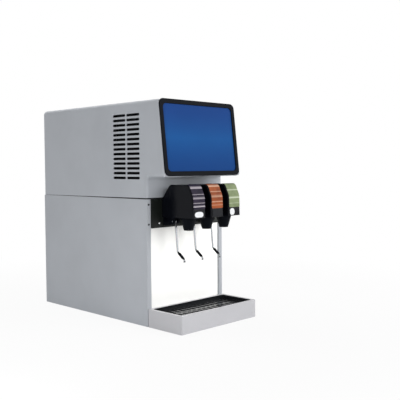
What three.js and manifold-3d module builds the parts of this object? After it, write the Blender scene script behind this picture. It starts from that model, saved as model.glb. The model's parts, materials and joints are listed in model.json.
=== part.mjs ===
// Countertop drink dispenser with three lever valves: a sheet-metal cabinet round an ice-water bath,
// a refrigeration deck under a slotted cover, a lit display head and a drip tray.
// Millimetres, +Z up. X runs along the front, the user stands at -Y and Z = 0 is the counter.
// Y = 0 is the front face of the cabinet while pieces are drawn. The last group centres the whole.
import * as THREE from "three";
import { mergeVertices } from "three/addons/utils/BufferGeometryUtils.js";
import Module from "manifold-3d";

const wasm = await Module();
wasm.setup();

// Overall sizes
const cabinetWidth = 350;
const cabinetDepth = 590;
const cabinetHeight = 720;
const seamHeight = 408;
const trayReach = 155;
const trayHeight = 58;

// Clearances and common stock
const seat = 0.3;
const cutOverrun = 2;
const sheet = 1.5;
const bend = 1.5;
const filletSteps = 3;
const roundSides = 20;
const hiddenSides = 12;
const smallSides = 8;
const mergeTolerance = 0.0005;

// Cabinet panels
const postWidth = 18;
const postReturn = 14;
const rearFlange = 14;
const seamGap = 0.9;
const splashRecess = 4;
const splashFlange = 9;
const panHeight = 24;
const panCorner = 4;

// Connection bay in the rear panel
const bayWidth = 236;
const bayHeight = 74;
const bayDepth = 34;
const bayBottom = 46;
const bayCorner = 6;
const bayLip = 8;
const fittingPitch = 42;
const fittingBore = 7;
const fittingFlange = 11;
const fittingFlangeThickness = 2.5;
const fittingLength = 26;
const barbRadius = 4.6;
const barbDepth = 0.9;
const barbCount = 2;
const barbPitch = 7;
const fittingTail = 9;

// Power inlet
const inletWidth = 28;
const inletHeight = 21;
const inletCorner = 4;
const inletDepth = 22;
const inletWall = 2;
const inletFlange = 6;
const inletRise = 300;
const inletSideRoom = 65;
const inletPinWidth = 4;
const inletPinThick = 2;
const inletPinLength = 14;
const inletPinPitch = 7;
const inletPins = 3;

// Upper cover and its head
const coverWall = 2.5;
const coverRearRadius = 14;
const coverEdgeRadius = 10;
const coverPostRadius = 8;
const neckHeight = 70;
const headTopReach = 59;
const headBottomReach = 87;
const headEdgeRadius = 12;
const headOverlap = 24;

// Air slots of the cover
const slotRows = 14;
const slotRise = 66.5;
const slotPitch = 15.6;
const slotHeight = 8.6;
const slotLength = 65;
const slotColumnGap = 5;
const slotFirst = 32;
const slotEndSteps = 1;
const rearSlotRows = 6;
const rearSlotSpread = 60;

// Display
const bezelInset = 3;
const bezelTopRise = 3;
const bezelBorder = 15;
const bezelThickness = 3;
const bezelCorner = 18;
const bezelRimWall = 2.5;
const bezelRimDepth = 26;
const lensLap = 6;
const lensCorner = 14;
const lensThickness = 3;
const lightBoardThickness = 1.6;
const lightBoardSetback = 4;
const lampRows = 2;
const lampColumns = 4;
const lampSize = 5;
const lampHeight = 2.4;

// Drip tray and cup rest
const trayWall = 3;
const trayFloor = 3;
const trayRim = 10;
const trayCorner = 6;
const trayRimCorner = 10;
const trayRibSpread = 100;
const trayRibWidth = 4;
const trayDrainNotch = 16;
const restDepth = 12;
const restFloor = 3;
const restWall = 2;
const restBorder = 12;
const restBarWidth = 10;
const restSlotWidth = 12;
const restSlotRows = 2;

// Valve plate
const plateHeight = 93;
const plateThickness = 4;
const plateProud = 1;
const plateCorner = 3;

// Mounting manifold behind the valve plate
const manifoldWidth = 236;
const manifoldRise = 19;
const manifoldHeight = 58;
const manifoldDepth = 20;
const portRadius = 7;
const portRise = 24;
const portSpread = 11;

// Dispensing valves
const valveCount = 3;
const valvePitch = 82;
const valveWidth = 57;
const valveWall = 2.2;
const valveDrop = 59;
const valveHeight = 104;
const valveChamfer = 43;
const valveCrown = 35;
const valveTopReach = 122;
const valveBrowReach = 140;
const valveBrowDrop = 38;
const valveFrontReach = 142;
const valveTopRadius = 14;
const valveBrowRadius = 40;
const valveEdgeRadius = 5;
const labelRise = 28;
const labelThickness = 1;
const labelInset = 3.5;

// Valve body
const bodyWidth = 40;
const bodyDrop = 3;
const bodyHeight = 38;
const bodyReach = 62;
const bodyFlangeWidth = 48;
const bodyFlangeThickness = 5;
const bodyFlangeDrop = 26;
const bodyCorner = 4;
const earDrop = 21;
const earThickness = 5;
const earLength = 34;
const earTipRadius = 9;
const socketReach = 93;
const socketRadius = 25;
const socketRise = 22;
const socketBridge = 30;
const spigotRadius = 5;
const spigotFinReach = 10;
const spigotFinThickness = 2;
const spigotDrop = 22;
const spigotFins = 4;

// Solenoid
const coilRadius = 14;
const coilHeight = 34;
const yokeThickness = 2.5;
const yokeWidth = 32;
const solenoidReach = 42;
const plungerRadius = 5;
const plungerCap = 6;

// Nozzle
const nozzleTipRadius = 14.5;
const nozzleTopRadius = 25;
const nozzleWall = 2.4;
const nozzleDrop = 37.5;
const nozzleBand = 3;
const nozzleNeckRadius = 19;
const nozzleNeckHeight = 12;

// Lever
const pivotReach = 31;
const pivotDrop = 12;
const leverWidth = 7;
const leverThickness = 2;
const leverHubRadius = 5;
const leverHubWidth = 13;
const pinRadius = 2;
const leverKneeReach = 36;
const leverKneeDrop = 21;
const leverBendReach = 43;
const leverBendDrop = 98;
const leverTipReach = 74;
const leverTipDrop = 122;
const leverLip = 8;
const leverBendRadius = 4;
const sleeveWall = 1;
const sleeveEndShare = 0.06;

// Deck
const deckThickness = 2;
const deckRim = 20;
const shaftHole = 14;

// Condenser, shroud and fan
const condenserSetback = 14;
const condenserThickness = 38;
const condenserFront = 24;
const condenserWidth = 152;
const condenserFins = 11;
const condenserFinShare = 0.4;
const condenserHeight = 250;
const condenserEndPlate = 2;
const tubeRadius = 4;
const condenserBends = 2;
const bendReach = 12;
const shroudPlate = 2;
const shroudBore = 66;
const shroudCollar = 24;
const fanRadius = 62;
const fanHubRadius = 15;
const fanHubLength = 14;
const fanBlades = 5;
const fanBladeThickness = 1.6;
const fanBladeChord = 40;
const fanBladePitch = Math.PI / 6;
const fanSetback = 6;
const fanMotorRadius = 26;
const fanMotorLength = 46;
const fanArmWidth = 8;
const fanArms = 3;
const fanShaftRadius = 3;

// Compressor
const compressorSideRoom = 113;
const compressorRearRoom = 185;
const compressorRadius = 66;
const compressorHeight = 168;
const compressorSeam = 4;
const compressorFoot = 62;
const compressorPlate = 3;
const grommetRadius = 8;
const grommetHeight = 12;

// Agitator
const agitatorPlaceShare = 0.39;
const agitatorMotorRadius = 30;
const agitatorMotorHeight = 66;
const agitatorFlange = 40;
const agitatorFlangeThickness = 4;
const agitatorShaftRadius = 4;
const agitatorDepth = 250;
const propellerRadius = 34;
const propellerHubRadius = 9;
const propellerHubHeight = 16;
const propellerBlades = 3;
const propellerChord = 22;
const propellerCorner = 7;
const propellerThickness = 1.6;
const propellerPitch = Math.PI / 5;

// Carbonator pump and control box
const pumpSideRoom = 46;
const pumpRearRoom = 170;
const pumpMotorRadius = 36;
const pumpMotorLength = 118;
const pumpHeadRadius = 20;
const pumpHeadLength = 44;
const pumpFootHeight = 10;
const pumpFootWidth = 56;
const pumpPortRadius = 6;
const controlSideRoom = 67;
const controlFrontRoom = 126;
const controlWidth = 78;
const controlDepth = 108;
const controlHeight = 92;
const controlCorner = 5;
const controlLid = 12;
const controlLap = 3;

// Bath tank, coils and carbonator tank
const tankClearance = 1;
const tankFront = 34;
const tankBayRoom = 12;
const tankWall = 18;
const tankBottomWall = 20;
const tankCorner = 26;
const tankRimDrop = 0.6;
const coilTube = 4;
const riserSpread = 16;
const riserInset = 13;
const riserStub = 14;
const evaporatorMargin = 14;
const evaporatorTurns = 3;
const evaporatorPitch = 40;
const evaporatorRise = 190;
const sodaMargin = 40;
const sodaTurns = 3;
const sodaPitch = 26;
const sodaRise = 70;
const coilTurnSteps = 10;
const coilSides = 5;
const carbonatorRearRoom = 142;
const carbonatorRadius = 50;
const carbonatorHeight = 236;
const carbonatorDome = 20;
const carbonatorFoot = 8;
const carbonatorPort = 6;
const carbonatorPortRise = 14;

// Sizes that follow from these
const halfWidth = cabinetWidth / 2;
const insideHalf = halfWidth - sheet - seat;
const panelTop = seamHeight - seamGap;
const rearInside = cabinetDepth - sheet - seat;
const bezelProud = bezelThickness + seat;
const valveSeatY = -plateProud - seat;
const headBottom = seamHeight + neckHeight;
const headTilt = Math.atan2(headBottomReach - headTopReach, cabinetHeight - headBottom);
const headSlant = (cabinetHeight - headBottom) / Math.cos(headTilt);
const displayFoot = bezelInset + bezelBorder - headSlant / 2;
const displayTop = headSlant / 2 + bezelTopRise - bezelBorder;
const plateBottom = panelTop - plateHeight;
const manifoldBottom = plateBottom + manifoldRise;
const valveBottom = seamHeight - valveDrop;
const valveTop = valveBottom + valveHeight;
const bodyBottom = valveBottom - bodyDrop;
const bodyTop = bodyBottom + bodyHeight;
const pivotHeight = bodyBottom - pivotDrop;
const bayMouth = rearInside - sheet - seat;
const bayFloor = bayMouth - bayDepth;
const inletShift = halfWidth - inletSideRoom;
const tankRear = bayFloor - tankBayRoom;
const agitatorY = tankFront + (tankRear - tankFront) * agitatorPlaceShare;

const steel = (color, roughness) => new THREE.MeshStandardMaterial({ color, roughness, metalness: 1 });
const plain = (color, roughness) => new THREE.MeshStandardMaterial({ color, roughness, metalness: 0 });
const palette = {
  paint: plain(0xb4b8bc, 0.45),
  tray: plain(0xcbccd0, 0.4),
  splash: steel(0xf0f0ee, 0.35),
  black: plain(0x17191c, 0.35),
  gloss: plain(0x1c1e22, 0.15),
  lens: plain(0x23578f, 0.2),
  board: plain(0x2f6b3c, 0.6),
  chrome: steel(0xd5d7d9, 0.2),
  zinc: steel(0xa7aaad, 0.45),
  aluminium: steel(0xb9bcc0, 0.4),
  copper: steel(0xb87348, 0.35),
  enamel: plain(0x1b1b1d, 0.4),
  foam: plain(0xe4e2da, 0.8),
  ivory: plain(0xe9e7e0, 0.5),
  labels: [plain(0x3a3444, 0.35), plain(0xb4653c, 0.35), plain(0x8c9b6e, 0.35)],
};

// Turns a closed geometry into a solid whose faces point out.
function solid(geometry) {
  const bare = geometry.index ? geometry.toNonIndexed() : geometry.clone();
  bare.deleteAttribute("normal");
  bare.deleteAttribute("uv");
  const merged = mergeVertices(bare, mergeTolerance);
  const vertProperties = merged.attributes.position.array;
  const triVerts = new Uint32Array(merged.index.array);
  if (signedVolume(vertProperties, triVerts) < 0) triVerts.reverse();
  return new wasm.Manifold(new wasm.Mesh({ numProp: 3, vertProperties, triVerts }));
}

function signedVolume(points, faces) {
  const corner = (i) => new THREE.Vector3().fromArray(points, faces[i] * 3);
  let sum = 0;
  for (let i = 0; i < faces.length; i += 3) {
    sum += corner(i).dot(corner(i + 1).cross(corner(i + 2)));
  }
  return sum;
}

function join(...solids) {
  return solids.reduce((whole, next) => whole.add(next));
}

function cut(body, ...tools) {
  return tools.reduce((rest, tool) => rest.subtract(tool), body);
}

function common(...solids) {
  return solids.reduce((whole, next) => whole.intersect(next));
}

function named(name, body, material) {
  const { vertProperties, triVerts } = body.getMesh();
  const geometry = new THREE.BufferGeometry();
  geometry.setAttribute("position", new THREE.BufferAttribute(vertProperties, 3));
  geometry.setIndex(new THREE.BufferAttribute(triVerts, 1));
  geometry.computeVertexNormals();
  const mesh = new THREE.Mesh(geometry, material);
  mesh.name = name;
  return mesh;
}

// Closed outline through corners [x, y, radius], each rounded with a true arc.
function outline(corners, steps = filletSteps) {
  const points = corners.flatMap((corner, i) => {
    const before = corners[(i + corners.length - 1) % corners.length];
    const after = corners[(i + 1) % corners.length];
    return rounded(corner, before, after, steps);
  });
  return new THREE.Shape(points);
}

function rounded([x, y, radius = 0], before, after, steps) {
  const at = new THREE.Vector2(x, y);
  if (radius <= 0) return [at];
  const back = new THREE.Vector2(before[0], before[1]).sub(at);
  const ahead = new THREE.Vector2(after[0], after[1]).sub(at);
  const room = Math.min(back.length(), ahead.length()) / 2;
  back.normalize();
  ahead.normalize();
  const half = Math.acos(THREE.MathUtils.clamp(back.dot(ahead), -1, 1)) / 2;
  const run = Math.min(radius / Math.tan(half), room);
  const arc = run * Math.tan(half);
  const centre = back.clone().add(ahead).normalize().multiplyScalar(arc / Math.sin(half)).add(at);
  const start = back.clone().multiplyScalar(run).add(at).sub(centre);
  const end = ahead.clone().multiplyScalar(run).add(at).sub(centre);
  const turn = Math.atan2(start.cross(end), start.dot(end));
  return Array.from({ length: steps + 1 }, (_, k) =>
    start.clone().rotateAround(new THREE.Vector2(), (turn * k) / steps).add(centre));
}

function rectangle(x0, y0, x1, y1, radius = 0, steps = filletSteps) {
  return outline([[x0, y0, radius], [x1, y0, radius], [x1, y1, radius], [x0, y1, radius]], steps);
}

function disc(x, y, radius, sides) {
  const points = Array.from({ length: sides }, (_, k) => {
    const turn = (2 * Math.PI * k) / sides;
    return new THREE.Vector2(x + radius * Math.cos(turn), y + radius * Math.sin(turn));
  });
  return new THREE.Shape(points);
}

// Path moved sideways to its left by a distance, with mitred corners.
function shifted(path, distance) {
  const normal = (a, b) => new THREE.Vector2(a[1] - b[1], b[0] - a[0]).normalize();
  return path.map((point, i) => {
    const into = normal(path[Math.max(i - 1, 0)], path[Math.max(i, 1)]);
    const last = path.length - 1;
    const out = normal(path[Math.min(i, last - 1)], path[Math.min(i + 1, last)]);
    const scale = distance / (1 + into.dot(out));
    return [point[0] + (into.x + out.x) * scale, point[1] + (into.y + out.y) * scale];
  });
}

// Outline of a folded strip: the path lies on its right face and the stock to the left of it.
function folded(path, thickness, bendRadius) {
  const other = shifted(path, thickness);
  const radii = path.map((point, i) => {
    if (i === 0 || i === path.length - 1) return [0, 0];
    const a = new THREE.Vector2(point[0] - path[i - 1][0], point[1] - path[i - 1][1]);
    const b = new THREE.Vector2(path[i + 1][0] - point[0], path[i + 1][1] - point[1]);
    const wide = bendRadius + thickness;
    return a.cross(b) > 0 ? [wide, bendRadius] : [bendRadius, wide];
  });
  const near = path.map((point, i) => [...point, radii[i][0]]);
  const far = other.map((point, i) => [...point, radii[i][1]]).reverse();
  return outline([...near, ...far]);
}

function extruded(shape, depth) {
  return new THREE.ExtrudeGeometry(shape, { depth, bevelEnabled: false, curveSegments: filletSteps });
}

// The outline's axes become X and Y.
function alongZ(shape, from, to) {
  return solid(extruded(shape, to - from).translate(0, 0, from));
}

// The outline's axes become Y and Z.
function alongX(shape, from, to) {
  const cycle = new THREE.Matrix4().makeBasis(
    new THREE.Vector3(0, 1, 0), new THREE.Vector3(0, 0, 1), new THREE.Vector3(1, 0, 0));
  return solid(extruded(shape, to - from).translate(0, 0, from).applyMatrix4(cycle));
}

// The outline's axes become X and Z.
function alongY(shape, from, to) {
  return solid(extruded(shape, to - from).translate(0, 0, -to).rotateX(Math.PI / 2));
}

// Solid of revolution about Z through a profile of [radius, height] that starts and ends on the axis.
function turned(profile, sides) {
  const points = profile.map(([radius, height]) => new THREE.Vector2(radius, height));
  return new THREE.LatheGeometry(points, sides).rotateX(Math.PI / 2);
}

function ring(profile, sides) {
  return turned([...profile, profile[0]], sides);
}

function rod(radius, from, to, sides) {
  return turned([[0, from], [radius, from], [radius, to], [0, to]], sides);
}

function block(x0, x1, y0, y1, z0, z1) {
  return alongZ(rectangle(x0, y0, x1, y1), z0, z1);
}

function tube(points, radius, steps, sides) {
  const path = new THREE.CatmullRomCurve3(points, false, "centripetal");
  return solid(new THREE.ExtrudeGeometry(disc(0, 0, radius, sides), { extrudePath: path, steps }));
}

function around(count, make) {
  return Array.from({ length: count }, (_, k) => make((2 * Math.PI * k) / count, k));
}

function row(count, pitch, make) {
  return Array.from({ length: count }, (_, k) => make((k - (count - 1) / 2) * pitch, k));
}

// Casing

function sidePanel(side) {
  const path = [
    [-halfWidth + rearFlange, cabinetDepth],
    [-halfWidth, cabinetDepth],
    [-halfWidth, 0],
    [-halfWidth + postWidth, 0],
    [-halfWidth + postWidth, postReturn],
  ];
  const mirrored = path.map(([x, y]) => [-x, y]).reverse();
  const shape = folded(side < 0 ? path : mirrored, sheet, bend);
  return named(side < 0 ? "left_side_panel" : "right_side_panel", alongZ(shape, 0, panelTop), palette.paint);
}

function basePan() {
  const pan = cut(
    alongZ(panOutline(0), 0, panHeight),
    alongZ(panOutline(sheet), sheet, panHeight + cutOverrun));
  return named("base_pan", pan, palette.zinc);
}

// The pan fills the panels and reaches forward between the two posts, under the splash panel's flanges.
function panOutline(inset) {
  const half = insideHalf - inset;
  const tongue = halfWidth - postWidth - 2 * (sheet + seat) - inset;
  const shoulder = postReturn + seat + inset;
  const front = splashRecess + sheet + seat + inset;
  const rear = rearInside - sheet - seat - inset;
  const corner = panCorner - inset;
  return outline([
    [-tongue, front, corner], [tongue, front, corner], [tongue, shoulder], [half, shoulder, corner],
    [half, rear, corner], [-half, rear, corner], [-half, shoulder, corner], [-tongue, shoulder],
  ]);
}

function rearPanel() {
  const edge = insideHalf - bend;
  const plate = rectangle(-edge, seat, edge, panelTop);
  plate.holes.push(bayOutline(0));
  plate.holes.push(inletOutline(seat));
  return named("rear_panel", alongY(plate, rearInside - sheet, rearInside), palette.paint);
}

function bayOutline(grow) {
  const half = bayWidth / 2 + grow;
  return rectangle(-half, bayBottom - grow, half, bayBottom + bayHeight + grow, bayCorner);
}

// Folded pocket behind the rear panel: its floor carries the hose fittings.
function connectionBay() {
  const wall = alongY(bayOutline(sheet), bayFloor, bayMouth);
  const lip = alongY(bayOutline(bayLip), bayMouth - sheet, bayMouth);
  const pocket = cut(join(wall, lip), alongY(bayOutline(0), bayFloor + sheet, bayMouth + cutOverrun));
  const rise = bayBottom + bayHeight / 2;
  const through = bayFloor + sheet + cutOverrun;
  const bores = fittingPlaces().map((x) =>
    alongY(disc(x, rise, fittingBore + seat, smallSides), bayFloor - cutOverrun, through));
  return named("connection_bay", cut(pocket, ...bores), palette.zinc);
}

const fittingNames = ["water_inlet", "gas_inlet", "syrup_inlet_1", "syrup_inlet_2", "syrup_inlet_3"];

function fittingPlaces() {
  return row(fittingNames.length, fittingPitch, (x) => x);
}

// Hose fitting: shank through the bay floor, flange, and a barbed tail inside the bay's mouth.
function hoseFitting(name, x) {
  const face = bayFloor + sheet + seat;
  const start = face + fittingFlangeThickness;
  const profile = [[0, bayFloor - fittingTail], [fittingBore, bayFloor - fittingTail], [fittingBore, face]];
  profile.push([fittingFlange, face], [fittingFlange, start], [barbRadius, start]);
  for (let k = 0; k < barbCount; k += 1) {
    const at = start + barbPitch * (k + 1);
    profile.push([barbRadius + barbDepth, at], [barbRadius, at + barbDepth / 2]);
  }
  const end = face + fittingLength;
  profile.push([barbRadius, end], [0, end]);
  const body = turned(profile, smallSides).rotateX(-Math.PI / 2);
  const mesh = named(name, solid(body), palette.chrome);
  mesh.position.set(x, 0, bayBottom + bayHeight / 2);
  return mesh;
}

function inletOutline(grow) {
  const halfW = inletWidth / 2 + grow;
  const halfH = inletHeight / 2 + grow;
  return rectangle(
    inletShift - halfW, inletRise - halfH, inletShift + halfW, inletRise + halfH, inletCorner + grow);
}

// Socket that snaps in from inside, with its three contact blades in the recess.
function powerInlet() {
  const face = rearInside;
  const back = face - inletDepth;
  const shell = join(
    alongY(inletOutline(0), back, face),
    alongY(inletOutline(inletFlange), face - 2 * sheet - seat, face - sheet - seat));
  const socket = cut(shell, alongY(inletOutline(-inletWall), back + inletWall, face + cutOverrun));
  const blades = row(inletPins, inletPinPitch, (dx) => {
    const x = inletShift + dx;
    const halfT = inletPinThick / 2;
    return block(x - halfT, x + halfT, back, back + inletWall + inletPinLength,
      inletRise - inletPinWidth / 2, inletRise + inletPinWidth / 2);
  });
  return named("power_inlet", join(socket, ...blades), palette.black);
}

function splashPanel() {
  const edge = halfWidth - postWidth - seat;
  const path = [
    [-edge, splashRecess + splashFlange],
    [-edge, splashRecess],
    [edge, splashRecess],
    [edge, splashRecess + splashFlange],
  ];
  return named("splash_panel", alongZ(folded(path, sheet, bend), seat, plateBottom - seat), palette.splash);
}

function valvePlate() {
  const edge = halfWidth - postWidth - seat;
  const face = rectangle(-edge, plateBottom, edge, panelTop, plateCorner);
  const ports = eachValve(portPlaces).flat();
  face.holes.push(...ports.map((x) => disc(x, portHeight(), portRadius + seat, smallSides)));
  return named("valve_plate", alongY(face, -plateProud, plateThickness - plateProud), palette.black);
}

// Upper cover

// The cover's outer form for inset 0, and its cavity for an inset of one wall, open at the bottom.
function coverForm(inset, floor) {
  const half = halfWidth - inset;
  const top = cabinetHeight - inset;
  const under = headBottom + inset;
  const front = (bezelProud + inset) / Math.cos(headTilt);
  const side = outline([
    [inset, floor],
    [cabinetDepth - inset, floor],
    [cabinetDepth - inset, top, coverRearRadius - inset],
    [inset, top],
  ]);
  const gable = outline([
    [-half, floor],
    [half, floor],
    [half, top, coverEdgeRadius - inset],
    [-half, top, coverEdgeRadius - inset],
  ]);
  const plan = rectangle(-half, inset, half, cabinetDepth - inset, coverPostRadius - inset);
  const body = common(
    alongX(side, -half, half),
    alongY(gable, inset, cabinetDepth - inset),
    alongZ(plan, floor, top));
  const brow = outline([
    [headOverlap + inset, under],
    [headOverlap + inset, top],
    [-headTopReach + front, top],
    [-headBottomReach + front, under],
  ]);
  const face = rectangle(-half, under, half, top, headEdgeRadius - inset);
  const head = common(
    alongX(brow, -half, half),
    alongY(face, -headBottomReach, headOverlap + inset));
  return join(body, head);
}

function slotOutline(y, z, length) {
  const half = slotHeight / 2;
  return rectangle(y, z - half, y + length, z + half, half, slotEndSteps);
}

function coverSlots() {
  const sides = slotFirst + slotLength + slotColumnGap;
  const tools = [];
  for (let k = 0; k < slotRows; k += 1) {
    const z = seamHeight + slotRise + slotPitch * k;
    for (const y of [slotFirst, sides]) {
      tools.push(alongX(slotOutline(y, z, slotLength), -halfWidth - cutOverrun, halfWidth + cutOverrun));
    }
  }
  for (let k = 0; k < rearSlotRows; k += 1) {
    const z = seamHeight + slotRise + slotPitch * k;
    for (const middle of [-rearSlotSpread, rearSlotSpread]) {
      const slot = slotOutline(middle - slotLength / 2, z, slotLength);
      tools.push(alongY(slot, cabinetDepth - coverWall - cutOverrun, cabinetDepth + cutOverrun));
    }
  }
  return tools;
}

function upperCover() {
  const shell = cut(coverForm(0, seamHeight), coverForm(coverWall, seamHeight - cutOverrun));
  const through = -bezelProud - coverWall - cutOverrun;
  const opening = displayExtrusion(displayOutline(openingGrow()), through, cutOverrun);
  opening.applyMatrix4(displayFrame());
  return named("upper_cover", cut(shell, solid(opening), ...coverSlots()), palette.paint);
}

// Display, drawn in its own slanted plane: x across, y up the slant and z out towards the user.

function displayFrame() {
  const middleY = -(headTopReach + headBottomReach) / 2;
  const middleZ = (cabinetHeight + headBottom) / 2;
  return new THREE.Matrix4().makeRotationX(Math.PI / 2 - headTilt).setPosition(0, middleY, middleZ);
}

// The lens opening grown by a margin; the bezel's outer edge is one border further out.
function displayOutline(grow) {
  const halfW = halfWidth - bezelInset - bezelBorder + grow;
  const corner = lensCorner + Math.min(grow, bezelCorner - lensCorner);
  return rectangle(-halfW, displayFoot - grow, halfW, displayTop + grow, Math.max(corner, 0));
}

function openingGrow() {
  return lensLap + bezelRimWall + 2 * seat;
}

function displayExtrusion(shape, from, to) {
  return extruded(shape, to - from).translate(0, 0, from);
}

function displayGroup() {
  const flange = solid(displayExtrusion(displayOutline(bezelBorder), -bezelThickness, 0));
  const rimFrom = -bezelThickness - bezelRimDepth;
  const rim = solid(displayExtrusion(displayOutline(openingGrow() - seat), rimFrom, -bezelThickness / 2));
  const window = solid(displayExtrusion(displayOutline(0), rimFrom - cutOverrun, cutOverrun));
  const bore = solid(displayExtrusion(displayOutline(lensLap + seat), rimFrom - cutOverrun, -bezelThickness));
  const bezel = named("display_bezel", cut(join(flange, rim), window, bore), palette.black);

  const lensFace = -bezelThickness - seat;
  const lensSolid = solid(displayExtrusion(displayOutline(lensLap), lensFace - lensThickness, lensFace));
  const lens = named("display_lens", lensSolid, palette.lens);

  const boardBack = rimFrom + lightBoardSetback;
  const board = solid(displayExtrusion(displayOutline(lensLap), boardBack, boardBack + lightBoardThickness));
  const halfW = halfWidth - bezelInset - bezelBorder;
  const lampPitchX = (2 * halfW) / lampColumns;
  const lampPitchY = (displayTop - displayFoot) / lampRows;
  const lampMiddle = (displayTop + displayFoot) / 2;
  const lampFrom = boardBack + lightBoardThickness / 2;
  const lampTo = boardBack + lightBoardThickness + lampHeight;
  const halfLamp = lampSize / 2;
  const lamps = row(lampRows, lampPitchY, (rise) => row(lampColumns, lampPitchX, (x) => {
    const y = lampMiddle + rise;
    const face = rectangle(x - halfLamp, y - halfLamp, x + halfLamp, y + halfLamp);
    return solid(displayExtrusion(face, lampFrom, lampTo));
  }));
  const lightBoard = named("light_board", join(board, ...lamps.flat()), palette.board);

  const group = new THREE.Group();
  group.add(bezel, lens, lightBoard);
  group.applyMatrix4(displayFrame());
  return group;
}

// Drip tray and cup rest

function trayOutline(inset, corner) {
  return rectangle(-halfWidth + inset, -trayReach + inset, halfWidth - inset, -seat - inset, corner);
}

function restSeat() {
  return trayHeight - restDepth - restFloor;
}

function dripTray() {
  const shell = cut(
    alongZ(trayOutline(0, trayCorner), 0, trayHeight),
    alongZ(trayOutline(trayWall, trayCorner - trayWall / 2), trayFloor, trayHeight - trayWall),
    alongZ(trayOutline(trayRim, trayRimCorner), trayFloor, trayHeight + cutOverrun));
  const halfRib = trayRibWidth / 2;
  const ribs = [-trayRibSpread, trayRibSpread].map((x) => {
    const from = -trayReach + trayWall / 2;
    const to = -seat - trayWall / 2;
    const middle = (from + to) / 2;
    const rib = block(x - halfRib, x + halfRib, from, to, trayFloor / 2, restSeat() - seat);
    const notch = block(x - trayRibWidth, x + trayRibWidth, middle - trayDrainNotch, middle + trayDrainNotch,
      trayFloor, trayFloor + trayDrainNotch);
    return cut(rib, notch);
  });
  return named("drip_tray", join(shell, ...ribs), palette.tray);
}

// Drop-in pan with rows of slots that run front to rear between narrow bars.
function cupRest() {
  const outer = alongZ(trayOutline(trayRim + seat, trayRimCorner - seat), restSeat(), trayHeight - seat);
  const inset = trayRim + seat + restWall;
  const wellFrom = restSeat() + restFloor;
  const well = alongZ(trayOutline(inset, trayRimCorner - restWall), wellFrom, trayHeight + cutOverrun);
  const spanX = cabinetWidth - 2 * (inset + restBorder);
  const spanY = trayReach - seat - 2 * (inset + restBorder);
  const pitchX = restSlotWidth + restBarWidth;
  const columns = Math.floor((spanX + restBarWidth) / pitchX);
  const pitchY = (spanY + restBarWidth) / restSlotRows;
  const middleY = -(trayReach + seat) / 2;
  const halfX = restSlotWidth / 2;
  const halfY = (pitchY - restBarWidth) / 2;
  const slots = row(columns, pitchX, (x) => row(restSlotRows, pitchY, (dy) => {
    const y = middleY + dy;
    const slot = rectangle(x - halfX, y - halfY, x + halfX, y + halfY);
    return alongZ(slot, restSeat() - cutOverrun, wellFrom + cutOverrun);
  }));
  return named("cup_rest", cut(outer, well, ...slots.flat()), palette.gloss);
}

// Valves

function eachValve(make) {
  return row(valveCount, valvePitch, make);
}

function portHeight() {
  return manifoldBottom + portRise;
}

function portPlaces(x) {
  return [x - portSpread, x + portSpread];
}

function mountingManifold() {
  const back = plateThickness - plateProud + seat;
  const half = manifoldWidth / 2;
  const front = rectangle(-half, manifoldBottom, half, manifoldBottom + manifoldHeight, plateCorner);
  const bar = alongY(front, back, back + manifoldDepth);
  const ports = eachValve((x) => portPlaces(x).map((at) =>
    alongY(disc(at, portHeight(), portRadius, smallSides), valveSeatY + seat, back + manifoldDepth / 2)));
  return named("mounting_manifold", join(bar, ...ports.flat()), palette.ivory);
}

// Outer face of the valve cover from its shoulder over the crown and down the front, as [y, z, radius].
function valveFace() {
  return [
    [valveSeatY, valveTop - valveChamfer, 0],
    [-valveCrown, valveTop, valveTopRadius],
    [-valveTopReach, valveTop, valveTopRadius],
    [-valveBrowReach, valveTop - valveBrowDrop, valveBrowRadius],
    [-valveFrontReach, valveBottom, 0],
  ];
}

function valveCover(name, x) {
  const face = valveFace();
  const skin = outline([[valveSeatY, valveBottom], ...face]);
  const inner = shifted(face.map(([y, z]) => [y, z]), valveWall);
  const slope = valveChamfer / (valveCrown + valveSeatY);
  inner[0] = [inner[0][0] + cutOverrun, inner[0][1] - slope * cutOverrun];
  inner[inner.length - 1][1] -= cutOverrun;
  const cavity = outline([
    [inner[0][0], valveBottom - cutOverrun],
    ...inner.map(([y, z], i) => [y, z, Math.max(face[i][2] - valveWall, 0)]),
  ]);
  const half = valveWidth / 2;
  const front = outline([
    [x - half, valveBottom],
    [x + half, valveBottom],
    [x + half, valveTop, valveEdgeRadius],
    [x - half, valveTop, valveEdgeRadius],
  ]);
  const shell = common(
    alongX(skin, x - half, x + half),
    alongY(front, -valveFrontReach, valveSeatY));
  return named(name, cut(shell, alongX(cavity, x - half + valveWall, x + half - valveWall)), palette.gloss);
}

// Thin plate that follows the front of the cover from its brow up to the crown.
function valveLabel(name, x, material) {
  const [, , crown, brow, foot] = valveFace();
  const share = labelRise / (brow[1] - foot[1]);
  const low = [foot[0] + (brow[0] - foot[0]) * share, foot[1] + labelRise];
  const lapped = [crown[0] + valveTopRadius, crown[1]];
  const path = [lapped, crown, brow, low].map(([y, z]) => [y, z]);
  const near = shifted(path, -seat);
  const far = shifted(path, -seat - labelThickness);
  const radii = [0, valveTopRadius, valveBrowRadius, 0];
  const band = outline([
    ...near.map(([y, z], i) => [y, z, radii[i]]),
    ...far.map(([y, z], i) => [y, z, radii[i]]).reverse(),
  ]);
  const half = valveWidth / 2 - labelInset;
  return named(name, alongX(band, x - half, x + half), material);
}

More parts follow.
